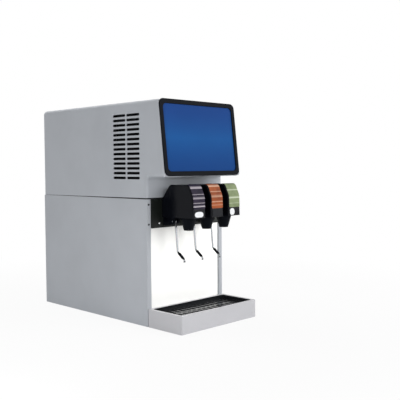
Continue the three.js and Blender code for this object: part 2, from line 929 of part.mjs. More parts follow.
function valveBody(name, x) {
  const half = bodyWidth / 2;
  const flangeHalf = bodyFlangeWidth / 2;
  const flange = alongY(
    rectangle(x - flangeHalf, bodyBottom - bodyFlangeDrop, x + flangeHalf, bodyTop, bodyCorner),
    valveSeatY - bodyFlangeThickness, valveSeatY);
  const plan = rectangle(x - half, -bodyReach, x + half, valveSeatY - seat, bodyCorner);
  const core = alongZ(plan, bodyBottom, bodyTop);
  const socket = solid(
    rod(socketRadius, bodyBottom, bodyBottom + socketRise, roundSides).translate(x, -socketReach, 0));
  const bridge = block(x - socketBridge / 2, x + socketBridge / 2, -socketReach, -bodyReach + bodyCorner,
    bodyBottom, bodyBottom + socketRise);
  const bore = solid(rod(nozzleNeckRadius + seat, bodyBottom - cutOverrun,
    bodyBottom + nozzleNeckHeight, roundSides).translate(x, -socketReach, 0));
  const spigotTop = bodyBottom + (socketRise + nozzleNeckHeight) / 2;
  const spigot = solid(
    rod(spigotRadius, bodyBottom - spigotDrop, spigotTop, smallSides).translate(x, -socketReach, 0));
  const fins = around(spigotFins, (turn) => solid(extruded(
    rectangle(0, -spigotFinThickness / 2, spigotFinReach, spigotFinThickness / 2), spigotDrop)
    .translate(0, 0, bodyBottom - spigotDrop).rotateZ(turn).translate(x, -socketReach, 0)));
  const casting = cut(join(flange, core, socket, bridge), bore);
  return named(name, join(casting, spigot, ...fins, ...leverEars(x)), palette.black);
}

// Two tapering ears under the body, with the pin bore.
function leverEars(x) {
  const rear = valveSeatY - bodyFlangeThickness / 2;
  const ear = outline([
    [rear, bodyBottom + bodyCorner],
    [rear, bodyBottom - earDrop + earTipRadius],
    [-pivotReach + earTipRadius, bodyBottom - earDrop, earTipRadius],
    [-pivotReach - earTipRadius, bodyBottom - earDrop, earTipRadius],
    [-earLength - earTipRadius, bodyBottom + bodyCorner],
  ]);
  ear.holes.push(disc(-pivotReach, pivotHeight, pinRadius + seat, smallSides));
  const inside = leverHubWidth / 2 + seat;
  return [
    alongX(ear, x - inside - earThickness, x - inside),
    alongX(ear, x + inside, x + inside + earThickness),
  ];
}

function leverPin(name, x) {
  const reach = leverHubWidth / 2 + seat + earThickness;
  const section = disc(-pivotReach, pivotHeight, pinRadius, smallSides);
  return named(name, alongX(section, x - reach, x + reach), palette.zinc);
}

// Centre line of the strap from the hub to the lip, as [y, z].
function leverLine() {
  return [
    [-pivotReach, pivotHeight],
    [-leverKneeReach, pivotHeight - leverKneeDrop],
    [-leverBendReach, pivotHeight - leverBendDrop],
    [-leverTipReach, pivotHeight - leverTipDrop],
    [-leverTipReach, pivotHeight - leverTipDrop - leverLip],
  ];
}

function lever(name, x) {
  const strapPath = shifted(leverLine(), -leverThickness / 2);
  const side = folded(strapPath, leverThickness, leverBendRadius);
  const strap = alongX(side, x - leverWidth / 2, x + leverWidth / 2);
  const hub = alongX(disc(-pivotReach, pivotHeight, leverHubRadius, hiddenSides),
    x - leverHubWidth / 2, x + leverHubWidth / 2);
  const bore = alongX(disc(-pivotReach, pivotHeight, pinRadius + seat, smallSides),
    x - leverHubWidth, x + leverHubWidth);
  return named(name, cut(join(strap, hub), bore), palette.chrome);
}

// Black sleeve over the slanting end of the strap.
function leverSleeve(name, x) {
  const [, , start, end] = leverLine();
  const between = (share) => [start[0] + (end[0] - start[0]) * share, start[1] + (end[1] - start[1]) * share];
  const run = Math.hypot(end[0] - start[0], end[1] - start[1]);
  const margin = leverBendRadius / run + sleeveEndShare;
  const path = [between(margin), between(1 - margin)];
  const inside = leverThickness / 2 + seat;
  const outside = inside + sleeveWall;
  const flat = folded(shifted(path, -outside), 2 * outside, bend);
  const slot = folded(shifted([between(0), between(1)], -inside), 2 * inside, bend);
  const half = leverWidth / 2 + seat;
  const body = alongX(flat, x - half - sleeveWall, x + half + sleeveWall);
  return named(name, cut(body, alongX(slot, x - half, x + half)), palette.black);
}

function nozzle(name, x) {
  const neckInside = nozzleNeckRadius - nozzleWall;
  const nozzleBottom = bodyBottom - nozzleDrop;
  const nozzleShoulder = bodyBottom - nozzleBand;
  const neckTop = bodyBottom + nozzleNeckHeight - nozzleBand;
  const profile = [
    [nozzleTipRadius - nozzleWall, nozzleBottom],
    [nozzleTipRadius, nozzleBottom],
    [nozzleTopRadius, nozzleShoulder],
    [nozzleTopRadius, bodyBottom - seat],
    [nozzleNeckRadius, bodyBottom - seat],
    [nozzleNeckRadius, neckTop],
    [neckInside, neckTop],
    [neckInside, nozzleShoulder - nozzleWall],
  ];
  const mesh = named(name, solid(ring(profile, roundSides)), palette.black);
  mesh.position.set(x, -socketReach, 0);
  return mesh;
}

function solenoid(name, x) {
  const floor = bodyTop + seat;
  const top = floor + coilHeight + yokeThickness;
  const half = yokeWidth / 2;
  const coil = rod(coilRadius, floor + yokeThickness / 2, top - yokeThickness / 2, hiddenSides);
  const cap = rod(plungerRadius, top - yokeThickness, top + plungerCap, smallSides);
  const yoke = folded(
    [[half, floor], [-half, floor], [-half, top], [half, top]].map(([a, z]) => [-a, z]), yokeThickness, bend);
  const frame = alongX(yoke, -coilRadius, coilRadius);
  const mesh = named(name, join(frame, solid(coil), solid(cap)), palette.copper);
  mesh.position.set(x, -solenoidReach, 0);
  return mesh;
}

function valveGroup(x, k) {
  const number = k + 1;
  const group = new THREE.Group();
  group.add(
    valveCover(`valve_cover_${number}`, x),
    valveLabel(`valve_label_${number}`, x, palette.labels[k % palette.labels.length]),
    valveBody(`valve_body_${number}`, x),
    solenoid(`solenoid_${number}`, x),
    nozzle(`nozzle_${number}`, x),
    lever(`lever_${number}`, x),
    leverSleeve(`lever_sleeve_${number}`, x),
    leverPin(`lever_pin_${number}`, x));
  return group;
}

// Refrigeration deck

function deckPlate() {
  const half = halfWidth - coverWall - seat;
  const front = coverWall + seat;
  const rear = cabinetDepth - front;
  const corner = coverPostRadius - coverWall;
  const outer = rectangle(-half, front, half, rear, corner);
  const inner = rectangle(-half + sheet, front + sheet, half - sheet, rear - sheet, corner - sheet);
  const pan = cut(alongZ(outer, panelTop + seat, panelTop + seat + deckRim),
    alongZ(inner, panelTop + seat + deckThickness, panelTop + seat + deckRim + cutOverrun));
  const riserHole = (coilTube + seat) / Math.cos(Math.PI / smallSides);
  const places = [evaporatorMargin, sodaMargin].flatMap(riserPlaces);
  const holes = places.map(([x, y]) => disc(x, y, riserHole, smallSides));
  holes.push(disc(0, agitatorY, shaftHole, smallSides));
  const bores = holes.map((hole) => alongZ(hole, panelTop, panelTop + deckRim));
  return named("deck_plate", cut(pan, ...bores), palette.zinc);
}

function floorOfDeck() {
  return panelTop + seat + deckThickness;
}

// Fin pack drawn as one comb, between two end plates, with the return bends of its tube.
function condenser() {
  const left = -halfWidth + coverWall + condenserSetback;
  const right = left + condenserThickness;
  const rear = condenserFront + condenserWidth;
  const bottom = floorOfDeck() + seat;
  const top = bottom + condenserHeight;
  const pitch = condenserWidth / condenserFins;
  const fin = pitch * condenserFinShare;
  const root = left + condenserEndPlate;
  const corners = [];
  for (let k = 0; k < condenserFins; k += 1) {
    const y = condenserFront + pitch * k;
    corners.push([right, y], [right, y + fin]);
    if (k < condenserFins - 1) corners.push([root, y + fin], [root, y + pitch]);
  }
  corners.push([left, condenserFront + pitch * (condenserFins - 1) + fin], [left, condenserFront]);
  const fins = alongZ(outline(corners), bottom, top);
  const caps = [bottom, top - condenserEndPlate].map((z) =>
    block(left, right, condenserFront, rear, z, z + condenserEndPlate));
  const bends = row(condenserBends, condenserHeight / (condenserBends + 1), (dz) => {
    const x = (left + right) / 2;
    const middle = (bottom + top) / 2 + dz;
    return returnBend(x, condenserFront + fin / 2, middle);
  });
  return named("condenser", join(fins, ...caps, ...bends), palette.aluminium);
}

// Half loop of tube in front of the fins, both ends of which reach into the first fin.
function returnBend(x, y, z) {
  const steps = 2 * filletSteps;
  const points = Array.from({ length: steps + 1 }, (_, k) => {
    const turn = (Math.PI * k) / steps;
    return new THREE.Vector3(x, y - bendReach * Math.sin(turn), z + bendReach * Math.cos(turn));
  });
  return tube(points, tubeRadius, steps, coilSides);
}

function shroudPlane() {
  return -halfWidth + coverWall + condenserSetback + condenserThickness + seat;
}

function fanCentre() {
  return { y: condenserFront + condenserWidth / 2, z: floorOfDeck() + seat + condenserHeight / 2 };
}

function fanShroud() {
  const { y, z } = fanCentre();
  const x = shroudPlane();
  const plate = rectangle(condenserFront, floorOfDeck() + seat, condenserFront + condenserWidth,
    floorOfDeck() + seat + condenserHeight, panCorner);
  const collar = disc(y, z, shroudBore + shroudPlate, roundSides);
  const bore = alongX(disc(y, z, shroudBore, roundSides), x - cutOverrun, x + shroudCollar + cutOverrun);
  const body = join(alongX(plate, x, x + shroudPlate), alongX(collar, x, x + shroudCollar));
  return named("fan_shroud", cut(body, bore), palette.black);
}

// Hub and pitched blades, turning about X.
function fanBlade() {
  const { y, z } = fanCentre();
  const hub = solid(rod(fanHubRadius, -fanHubLength / 2, fanHubLength / 2, hiddenSides));
  const blade = outline([
    [fanHubRadius / 2, -fanBladeChord / 4],
    [fanRadius * Math.cos(fanBladePitch / 2), -fanBladeChord / 2],
    [fanRadius * Math.cos(fanBladePitch / 2), fanBladeChord / 2, fanBladeChord / 4],
    [fanHubRadius / 2, fanBladeChord / 4],
  ]);
  const blades = around(fanBlades, (turn) => solid(
    extruded(blade, fanBladeThickness).translate(0, 0, -fanBladeThickness / 2)
      .rotateX(fanBladePitch).rotateZ(turn)));
  const tip = solid(rod(fanRadius, -fanHubLength, fanHubLength, roundSides));
  const bore = solid(rod(fanShaftRadius + seat, -fanHubLength, fanHubLength, smallSides));
  const mesh = named("fan_blade", cut(join(hub, common(join(...blades), tip)), bore), palette.black);
  mesh.rotation.y = Math.PI / 2;
  mesh.position.set(shroudPlane() + fanSetback + fanHubLength / 2, y, z);
  return mesh;
}

// Motor with three arms that reach out to the shroud's collar.
function fanMotor() {
  const { y, z } = fanCentre();
  const from = shroudCollar + seat;
  const can = rod(fanMotorRadius, from, from + fanMotorLength, hiddenSides);
  const shaft = rod(fanShaftRadius, fanSetback, from + fanMotorLength / 2, smallSides);
  const reach = shroudBore + shroudPlate;
  const arm = rectangle(0, -fanArmWidth / 2, reach, fanArmWidth / 2);
  const arms = around(fanArms, (turn) => solid(extruded(arm, sheet).translate(0, 0, from).rotateZ(turn)));
  const mesh = named("fan_motor", join(solid(can), solid(shaft), ...arms), palette.zinc);
  mesh.rotation.y = Math.PI / 2;
  mesh.position.set(shroudPlane(), y, z);
  return mesh;
}

// Hermetic can with a welded seam, on a foot plate with four grommets.
function compressor() {
  const foot = floorOfDeck() + seat;
  const plateFrom = foot + grommetHeight / 2;
  const base = plateFrom + compressorPlate / 2;
  const top = base + compressorHeight;
  const seam = base + compressorHeight / 2;
  const domed = compressorRadius / 2;
  const can = turned([
    [0, base], [compressorRadius - domed / 2, base], [compressorRadius, base + domed / 2],
    [compressorRadius, seam - compressorSeam], [compressorRadius + compressorSeam, seam - compressorSeam],
    [compressorRadius + compressorSeam, seam + compressorSeam], [compressorRadius, seam + compressorSeam],
    [compressorRadius, top - domed], [compressorRadius - domed / 3, top - domed / 3], [domed, top], [0, top],
  ], hiddenSides);
  const half = compressorFoot + grommetRadius;
  const square = rectangle(-half, -half, half, half, grommetRadius);
  const plate = alongZ(square, plateFrom, plateFrom + compressorPlate);
  const sides = [-compressorFoot, compressorFoot];
  const grommets = sides.flatMap((x) => sides.map((y) =>
    solid(rod(grommetRadius, foot, foot + grommetHeight, smallSides).translate(x, y, 0))));
  const mesh = named("compressor", join(solid(can), plate, ...grommets), palette.enamel);
  mesh.position.set(halfWidth - compressorSideRoom, cabinetDepth - compressorRearRoom, 0);
  return mesh;
}

function agitatorMotor() {
  const floor = floorOfDeck() + seat;
  const profile = [
    [agitatorShaftRadius + seat, floor],
    [agitatorFlange, floor],
    [agitatorFlange, floor + agitatorFlangeThickness],
    [agitatorMotorRadius, floor + agitatorFlangeThickness],
    [agitatorMotorRadius, floor + agitatorMotorHeight - agitatorFlangeThickness],
    [agitatorMotorRadius - agitatorFlangeThickness, floor + agitatorMotorHeight],
    [0, floor + agitatorMotorHeight],
    [0, floor + agitatorMotorHeight / 2],
    [agitatorShaftRadius + seat, floor + agitatorMotorHeight / 2],
  ];
  const mesh = named("agitator_motor", solid(ring(profile, hiddenSides)), palette.zinc);
  mesh.position.set(0, agitatorY, 0);
  return mesh;
}

// Long shaft from the motor down into the bath, with a small propeller at its end.
function agitatorImpeller() {
  const top = floorOfDeck() + seat + agitatorMotorHeight / 2 - seat;
  const bottom = floorOfDeck() - agitatorDepth;
  const shaft = rod(agitatorShaftRadius, bottom, top, smallSides);
  const hub = rod(propellerHubRadius, bottom, bottom + propellerHubHeight, smallSides);
  const halfChord = propellerChord / 2;
  const blade = rectangle(0, -halfChord, propellerRadius, halfChord, propellerCorner);
  const blades = around(propellerBlades, (turn) => solid(extruded(blade, propellerThickness)
    .rotateX(propellerPitch).rotateZ(turn).translate(0, 0, bottom + propellerHubHeight / 2)));
  const mesh = named("agitator_impeller", join(solid(shaft), solid(hub), ...blades), palette.chrome);
  mesh.position.set(0, agitatorY, 0);
  return mesh;
}

// Pump head in front of its motor, both on one foot.
function carbonatorPump() {
  const foot = floorOfDeck() + seat;
  const axis = foot + pumpFootHeight + pumpMotorRadius;
  const lying = (radius, from, to) =>
    solid(rod(radius, from, to, hiddenSides).rotateX(-Math.PI / 2).translate(0, 0, axis));
  const motor = lying(pumpMotorRadius, 0, pumpMotorLength);
  const head = lying(pumpHeadRadius, -pumpHeadLength, cutOverrun);
  const reach = pumpHeadRadius + 2 * pumpPortRadius;
  const ports = alongX(disc(-pumpHeadLength / 2, axis, pumpPortRadius, smallSides), -reach, reach);
  const half = pumpFootWidth / 2;
  const shoulder = axis - half / 2;
  const saddle = outline([[-half, foot], [half, foot], [half / 2, shoulder], [-half / 2, shoulder]]);
  const base = alongY(saddle, pumpFootHeight, pumpMotorLength - pumpFootHeight);
  const mesh = named("carbonator_pump", join(motor, head, ports, base), palette.enamel);
  mesh.position.set(-halfWidth + pumpSideRoom, cabinetDepth - pumpRearRoom - pumpMotorLength / 2, 0);
  return mesh;
}

// Box with a lapped lid, for the electrical parts.
function controlBox() {
  const floor = floorOfDeck() + seat;
  const halfW = controlWidth / 2;
  const halfD = controlDepth / 2;
  const lidFrom = floor + controlHeight - controlLid;
  const plan = (grow) => rectangle(-halfW - grow, -halfD - grow, halfW + grow, halfD + grow, controlCorner);
  const base = alongZ(plan(0), floor, lidFrom + controlLid / 2);
  const lid = alongZ(plan(controlLap), lidFrom, lidFrom + controlLid);
  const mesh = named("control_box", join(base, lid), palette.ivory);
  mesh.position.set(halfWidth - controlSideRoom, controlFrontRoom, 0);
  return mesh;
}

// Ice-water bath

function tankHalf() {
  return insideHalf - sheet - tankClearance;
}

function tankTop() {
  return panelTop + seat - tankRimDrop;
}

function bathTank() {
  const half = tankHalf();
  const outer = rectangle(-half, tankFront, half, tankRear, tankCorner / 2);
  const halfIn = half - tankWall;
  const inner = rectangle(-halfIn, tankFront + tankWall, halfIn, tankRear - tankWall, tankCorner);
  const floor = sheet + seat;
  const cavity = alongZ(inner, floor + tankBottomWall, tankTop() + cutOverrun);
  return named("bath_tank", cut(alongZ(outer, floor, tankTop()), cavity), palette.foam);
}

// Rounded oval coil of one tube inside the tank, with a riser at each end of it.
function coilTubePoints(margin, turns, pitch, rise) {
  const halfX = tankHalf() - tankWall - margin;
  const halfY = (tankRear - tankFront) / 2 - tankWall - margin;
  const middleY = (tankFront + tankRear) / 2;
  const steps = turns * coilTurnSteps;
  return Array.from({ length: steps + 1 }, (_, k) => {
    const turn = (2 * Math.PI * k) / coilTurnSteps;
    const square = (value) => Math.sign(value) * Math.sqrt(Math.abs(value));
    const x = halfX * square(Math.sin(turn));
    const y = middleY - halfY * square(Math.cos(turn));
    return new THREE.Vector3(x, y, rise + (pitch * k) / coilTurnSteps);
  });
}

// Where a coil's two ends rise through the deck.
function riserPlaces(margin) {
  const y = tankFront + tankWall + margin + riserInset;
  return [[-riserSpread, y], [riserSpread, y]];
}

function bathCoil(name, material, margin, turns, pitch, rise) {
  const [entry, exit] = riserPlaces(margin);
  const last = rise + turns * pitch;
  const points = [
    new THREE.Vector3(...entry, rise),
    ...coilTubePoints(margin, turns, pitch, rise),
    new THREE.Vector3(...exit, last),
  ];
  const risers = [[entry, rise], [exit, last]].map(([[x, y], z]) =>
    solid(rod(coilTube, z - coilTube, floorOfDeck() + riserStub, smallSides).translate(x, y, 0)));
  return named(name, join(tube(points, coilTube, points.length, coilSides), ...risers), material);
}

function carbonatorTank() {
  const foot = sheet + seat + tankBottomWall + seat;
  const top = foot + carbonatorHeight;
  const profile = [
    [0, foot], [carbonatorRadius, foot], [carbonatorRadius, foot + carbonatorFoot],
    [carbonatorRadius - carbonatorFoot / 2, foot + carbonatorFoot * 2],
    [carbonatorRadius, foot + carbonatorFoot * 3], [carbonatorRadius, top - carbonatorDome],
    [carbonatorRadius * Math.SQRT1_2, top - carbonatorDome / 4], [carbonatorPort, top],
    [carbonatorPort, top + carbonatorPortRise], [0, top + carbonatorPortRise],
  ];
  const mesh = named("carbonator_tank", solid(turned(profile, hiddenSides)), palette.chrome);
  mesh.position.set(0, tankRear - carbonatorRearRoom, 0);
  return mesh;
}

const evaporator = [evaporatorMargin, evaporatorTurns, evaporatorPitch, evaporatorRise];
const soda = [sodaMargin, sodaTurns, sodaPitch, sodaRise];
const dispenser = new THREE.Group();
dispenser.add(
  basePan(), sidePanel(-1), sidePanel(1), rearPanel(), connectionBay(), powerInlet(),
  splashPanel(), valvePlate(), mountingManifold(), upperCover(), displayGroup(),
  dripTray(), cupRest(),
  deckPlate(), condenser(), fanShroud(), fanBlade(), fanMotor(), compressor(),
  agitatorMotor(), agitatorImpeller(), carbonatorPump(), controlBox(),
  bathTank(), carbonatorTank(),
  bathCoil("evaporator_coil", palette.copper, ...evaporator),
  bathCoil("soda_coil", palette.chrome, ...soda),
  ...fittingPlaces().map((x, k) => hoseFitting(fittingNames[k], x)),
  ...eachValve(valveGroup));
dispenser.position.y = -(cabinetDepth - trayReach) / 2;

const part = new THREE.Group();
part.add(dispenser);
export default part;
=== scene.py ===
"""Countertop drink dispenser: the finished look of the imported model.

New pieces are modelled in metres round the model's own nodes, and take their places from
the nodes' boxes.
"""
import json
import math

import bmesh
import bpy
from mathutils import Matrix, Vector


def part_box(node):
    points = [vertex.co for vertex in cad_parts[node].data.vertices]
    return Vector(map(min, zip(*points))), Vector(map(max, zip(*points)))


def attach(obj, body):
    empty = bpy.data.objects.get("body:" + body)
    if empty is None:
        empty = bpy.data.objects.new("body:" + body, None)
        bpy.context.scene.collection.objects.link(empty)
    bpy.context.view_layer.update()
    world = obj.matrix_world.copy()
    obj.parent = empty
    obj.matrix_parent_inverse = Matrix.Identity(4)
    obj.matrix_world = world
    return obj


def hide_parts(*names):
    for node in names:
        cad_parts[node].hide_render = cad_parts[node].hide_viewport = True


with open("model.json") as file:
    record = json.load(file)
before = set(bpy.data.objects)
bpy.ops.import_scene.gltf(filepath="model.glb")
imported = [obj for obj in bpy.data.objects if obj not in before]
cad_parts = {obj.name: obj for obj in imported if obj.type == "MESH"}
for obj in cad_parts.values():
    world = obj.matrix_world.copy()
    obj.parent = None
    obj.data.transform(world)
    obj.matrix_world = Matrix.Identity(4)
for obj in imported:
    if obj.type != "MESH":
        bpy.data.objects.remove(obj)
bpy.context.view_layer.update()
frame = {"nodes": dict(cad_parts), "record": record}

bl_info = {
    "name": "Drink dispenser",
    "version": (1, 0, 0),
    "blender": (4, 5, 0),
    "location": "3D View > Sidebar > Dispenser",
    "description": "Models and finishes a countertop drink dispenser with three lever valves",
    "category": "Object",
}

VALVES = (1, 2, 3)
TINY = 1e-4
WELD = 1e-6
FACING = 0.9
NEARLY = 0.99
QUARTER = math.pi / 2
FLAT_ANGLE = math.radians(1)
SMOOTH_ANGLE = math.radians(32)
STEEP_ANGLE = math.radians(50)
SHARP_ANGLE = 1.0
CURVE_STEPS = 6
LONG_CURVE_STEPS = 8
ROUND_SIDES = 48

# Sheet metal
SHEET = 0.0015
BEND_RADIUS = 0.003
POST_WIDTH = 0.018
POST_RETURN = 0.014

# Upper cover
COVER_WALL = 0.0025
NECK_HEIGHT = 0.070
HEAD_LEAN = 0.028
DISPLAY_TOP_REACH = 0.059
SLOT_RISE = 0.0665
SLOT_PITCH = 0.0156
SLOT_HEIGHT = 0.0086
SLOT_LENGTH = 0.065
SLOT_FIRST = 0.032
SLOT_GAP = 0.005
SLOT_ROUND = 0.96
SLOT_ROWS = 14
REAR_SLOT_ROWS = 6
REAR_SLOT_SPREAD = 0.060
SLOT_LIP = 0.0002
SEAM_RISE = 0.0036
REAR_RADIUS = 0.016

# Display
BEZEL_BORDER = 0.015
BEZEL_INSET = 0.003
BEZEL_TOP_RISE = 0.003
BEZEL_THICKNESS = 0.003
BEZEL_CORNER = 0.018
WINDOW_CORNER = 0.014
RIM_DEPTH = 0.029
RIM_GROW = 0.0088
BORE_GROW = 0.0063
OPENING_GROW = 0.0091
LENS_GROW = 0.006
LENS_SETBACK = 0.0033
LENS_THICKNESS = 0.003
LENS_EDGE = 0.0005

# Drip tray and cup rest
TRAY_WALL = 0.003
TRAY_RIM = 0.010
TRAY_CORNER = 0.006
TRAY_RIM_CORNER = 0.010
TRAY_RIB_SPREAD = 0.100
TRAY_RIB_WIDTH = 0.004
TRAY_NOTCH = 0.016
TRAY_GAP = 0.0003
REST_WALL = 0.002
REST_BORDER = 0.012
REST_BAR = 0.010
REST_SLOT = 0.012
REST_SLOT_ROUND = 0.45
REST_EDGE = 0.0006

# Valves
PLATE_EDGE = 0.0008
BODY_EDGE = 0.0005
VALVE_WALL = 0.0022
VALVE_CHAMFER = 0.043
VALVE_CROWN = 0.0337
VALVE_TOP_REACH = 0.020
VALVE_BROW_REACH = 0.002
VALVE_BROW_DROP = 0.038
VALVE_TOP_RADIUS = 0.014
VALVE_BROW_RADIUS = 0.040
LABEL_RISE = 0.028
LABEL_WIDTH = 0.050
LABEL_GAP = 0.0003
LABEL_THICKNESS = 0.001
LABEL_CORNER = 0.004
FRONT_PLATE_WIDTH = 0.045
FRONT_PLATE_LOW = 0.003
FRONT_PLATE_HIGH = 0.025
FRONT_PLATE_THICKNESS = 0.0009

# Nozzle, measured down from the top of its neck
NOZZLE_TIP_RADIUS = 0.0145
NOZZLE_TOP_RADIUS = 0.025
NOZZLE_NECK_RADIUS = 0.019
NOZZLE_WALL = 0.0024
NOZZLE_NECK = 0.0093
NOZZLE_BAND = 0.0027
NOZZLE_EDGE = 0.0004

# Lever, from its pivot
LEVER_WIDTH = 0.007
LEVER_THICKNESS = 0.002
LEVER_LINE = ((0, 0), (-0.005, -0.021), (-0.012, -0.098), (-0.043, -0.122), (-0.043, -0.130))
LEVER_BENDS = (0.012, 0.007, 0.004)
LEVER_EDGE = 0.0004
HUB_RADIUS = 0.005
HUB_WIDTH = 0.013
HUB_SIDES = 32
PIN_BORE = 0.0023
SLEEVE_WALL = 0.001
SLEEVE_GAP = 0.0003
SLEEVE_EDGE = 0.0003
SLEEVE_START_SHARE = 0.16

# Screws: those of the posts are placed from the valve plate's foot and top
SCREW_RADIUS = 0.0034
SCREW_HEIGHT = 0.0014
SCREW_SIDES = 24
SCREW_ROUND = 0.6
RECESS_WIDTH = 0.0009
RECESS_REACH = 0.6
RECESS_FLOOR = 0.45
POST_SCREW_INSET = 0.008
POST_SCREW_LOW = 0.013
POST_SCREW_HIGH = 0.017
PLATE_SCREW_RISE = 0.015
REAR_SCREW_SPREAD = 0.158
REAR_SCREW_SHARES = (0.06, 0.36, 0.66, 0.95)

# Labels: a band's height is its share of the span, and it fades over its top edge
BAND_SPAN = 0.2
BAND_CRISPNESS = 40.0

# Finishes: shares of a colour that it drifts to, depths in metres, and ranges of a noise
PLAIN_DRIFT = 0.86
METAL_DRIFT = 0.8
PLATE_DRIFT = 1.6
SCRATCH_DEPTH = 0.00002
SMOOTH_DEPTH = 0.00001
CLOUD_EDGES = (0.35, 0.7)
GLOSS_SCALE = 14.0
DUST_SCALE = 40.0
DUST_FACING = (0.4, 1.0)
DUST_EDGES = (0.42, 0.72)
PATCH_POWER = 2.6
PATCH_EDGES = (0.8, 1.2)

# The lit panel's unevenness and its darker sides: each with its share of the bottom tint
LENS_CLOUD_SCALE = 5.0
LENS_CLOUD_EDGES = (0.3, 0.7)
LENS_CLOUD_STRENGTH = 0.18
LENS_CLOUD_TONE = 0.7
LENS_SIDE_START = 0.86
LENS_SIDE_STRENGTH = 0.35
LENS_SIDE_TONE = 0.55

# Stage
FLOOR_RADIUS = 14
FLOOR_SIDES = 64
FLOOR_TONE = 0.76
# The floor near the object keeps this share of white, up to the first of these distances.
FLOOR_WHITE = 0.91
FLOOR_FADE = (0.8, 1.6)
# Each lamp's place, the point that it faces, and its width.
KEY_LAMP = ((1.8, -2.8, 1.7), (0, -0.22, 0.4), 3.6)
TOP_LAMP = ((-0.3, 1.8, 2.7), (0, 0.1, 0.7), 2.4)
LOW_LAMP = ((-1.0, -0.5, 0.12), (-0.175, -0.28, 0.05), 0.4)
SENSOR_WIDTH = 36
VIEW_DEPTH = 60


def tone(red, green, blue):
    """A colour picked on a screen, 0 to 255, as linear values, by the sRGB curve."""
    return tuple(
        (c / 255 / 12.92) if c <= 10 else ((c / 255 + 0.055) / 1.055) ** 2.4
        for c in (red, green, blue))


# Settings


class DispenserSizes(bpy.types.PropertyGroup):
    """Roundings that show"""
    edge_radius: bpy.props.FloatProperty(
        name="Cover edge", description="Rounding of the upper cover's outer edges",
        default=0.010, min=0.001, unit="LENGTH")
    bezel_edge: bpy.props.FloatProperty(
        name="Bezel edge", description="Rounding of the display frame's front edges",
        default=0.0014, min=0.0002, unit="LENGTH")
    valve_edge: bpy.props.FloatProperty(
        name="Valve edge", description="Rounding of the valve covers' long edges",
        default=0.0045, min=0.001, unit="LENGTH")
    tray_edge: bpy.props.FloatProperty(
        name="Tray edge", description="Rounding of the drip tray's rim",
        default=0.0012, min=0.0002, unit="LENGTH")


class DispenserColours(bpy.types.PropertyGroup):
    """Colours of the finishes"""
    paint: bpy.props.FloatVectorProperty(
        name="Cabinet paint", description="Satin paint of the cabinet", subtype="COLOR",
        size=3, default=tone(187, 191, 197), min=0, max=1)
    tray_paint: bpy.props.FloatVectorProperty(
        name="Tray paint", description="Satin paint of the drip tray", subtype="COLOR",
        size=3, default=tone(198, 198, 202), min=0, max=1)
    splash: bpy.props.FloatVectorProperty(
        name="Splash panel", description="Bright satin steel behind the cups", subtype="COLOR",
        size=3, default=tone(252, 252, 250), min=0, max=1)
    black: bpy.props.FloatVectorProperty(
        name="Black plastic", description="Fine-grained black mouldings", subtype="COLOR",
        size=3, default=tone(11, 14, 20), min=0, max=1)
    gloss: bpy.props.FloatVectorProperty(
        name="Gloss black", description="Polished black mouldings", subtype="COLOR",
        size=3, default=tone(12, 14, 20), min=0, max=1)
    lens_top: bpy.props.FloatVectorProperty(
        name="Display, top", description="Upper tint of the lit panel", subtype="COLOR",
        size=3, default=tone(26, 60, 119), min=0, max=1)
    lens_middle: bpy.props.FloatVectorProperty(
        name="Display, middle", description="Middle tint of the lit panel", subtype="COLOR",
        size=3, default=tone(25, 76, 134), min=0, max=1)
    lens_bottom: bpy.props.FloatVectorProperty(
        name="Display, bottom", description="Lower tint of the lit panel", subtype="COLOR",
        size=3, default=tone(20, 59, 115), min=0, max=1)
    stainless: bpy.props.FloatVectorProperty(
        name="Stainless steel", description="Tanks and fittings", subtype="COLOR",
        size=3, default=tone(214, 216, 218), min=0, max=1)
    # Darker than the stainless steel, as painted reflection on the levers.
    lever: bpy.props.FloatVectorProperty(
        name="Lever steel", description="Levers of the valves", subtype="COLOR",
        size=3, default=tone(122, 124, 127), min=0, max=1)
    zinc: bpy.props.FloatVectorProperty(
        name="Zinc", description="Galvanised sheet", subtype="COLOR",
        size=3, default=tone(168, 172, 176), min=0, max=1)


class DispenserStage(bpy.types.PropertyGroup):
    """Camera and light"""
    camera_place: bpy.props.FloatVectorProperty(
        name="Camera", description="Where the camera stands", subtype="TRANSLATION", unit="LENGTH",
        size=3, default=(-1.5313, -1.7913, 0.5120))
    camera_yaw: bpy.props.FloatProperty(
        name="Yaw", description="Turn of the view from +Y towards +X", subtype="ANGLE",
        default=math.radians(45.404))
    camera_pitch: bpy.props.FloatProperty(
        name="Pitch", description="Tilt of the view above the horizon", subtype="ANGLE",
        default=math.radians(-2.965))
    camera_roll: bpy.props.FloatProperty(
        name="Roll", description="Turn of the picture", subtype="ANGLE",
        default=math.radians(-0.355))
    lens: bpy.props.FloatProperty(
        name="Focal length", description="Focal length on a 36 mm sensor, in millimetres",
        default=59.157, min=1)
    sky: bpy.props.FloatProperty(
        name="Sky", description="Strength of the even light", default=0.42, min=0)
    key_power: bpy.props.FloatProperty(
        name="Key lamp", description="Power of the large lamp in front", default=92.0, min=0,
        unit="POWER")
    top_power: bpy.props.FloatProperty(
        name="Top lamp", description="Power of the lamp above", default=44.0, min=0, unit="POWER")
    low_power: bpy.props.FloatProperty(
        name="Low lamp", description="Power of the small lamp near the floor", default=1.9, min=0,
        unit="POWER")


# Modelling by hand


def settle():
    """Leaves edit mode with nothing selected."""
    if bpy.context.mode != "OBJECT":
        bpy.ops.object.mode_set(mode="OBJECT")
    bpy.ops.object.select_all(action="DESELECT")


def choose(piece):
    """Makes the piece the only one selected."""
    settle()
    piece.select_set(True)
    bpy.context.view_layer.objects.active = piece


def called(name):
    piece = bpy.context.object
    piece.name = name
    piece.data.name = name
    return piece


def fix_place(piece):
    """Puts the piece's place, turn and size into its mesh."""
    choose(piece)
    bpy.ops.object.transform_apply(location=True, rotation=True, scale=True)
    return piece


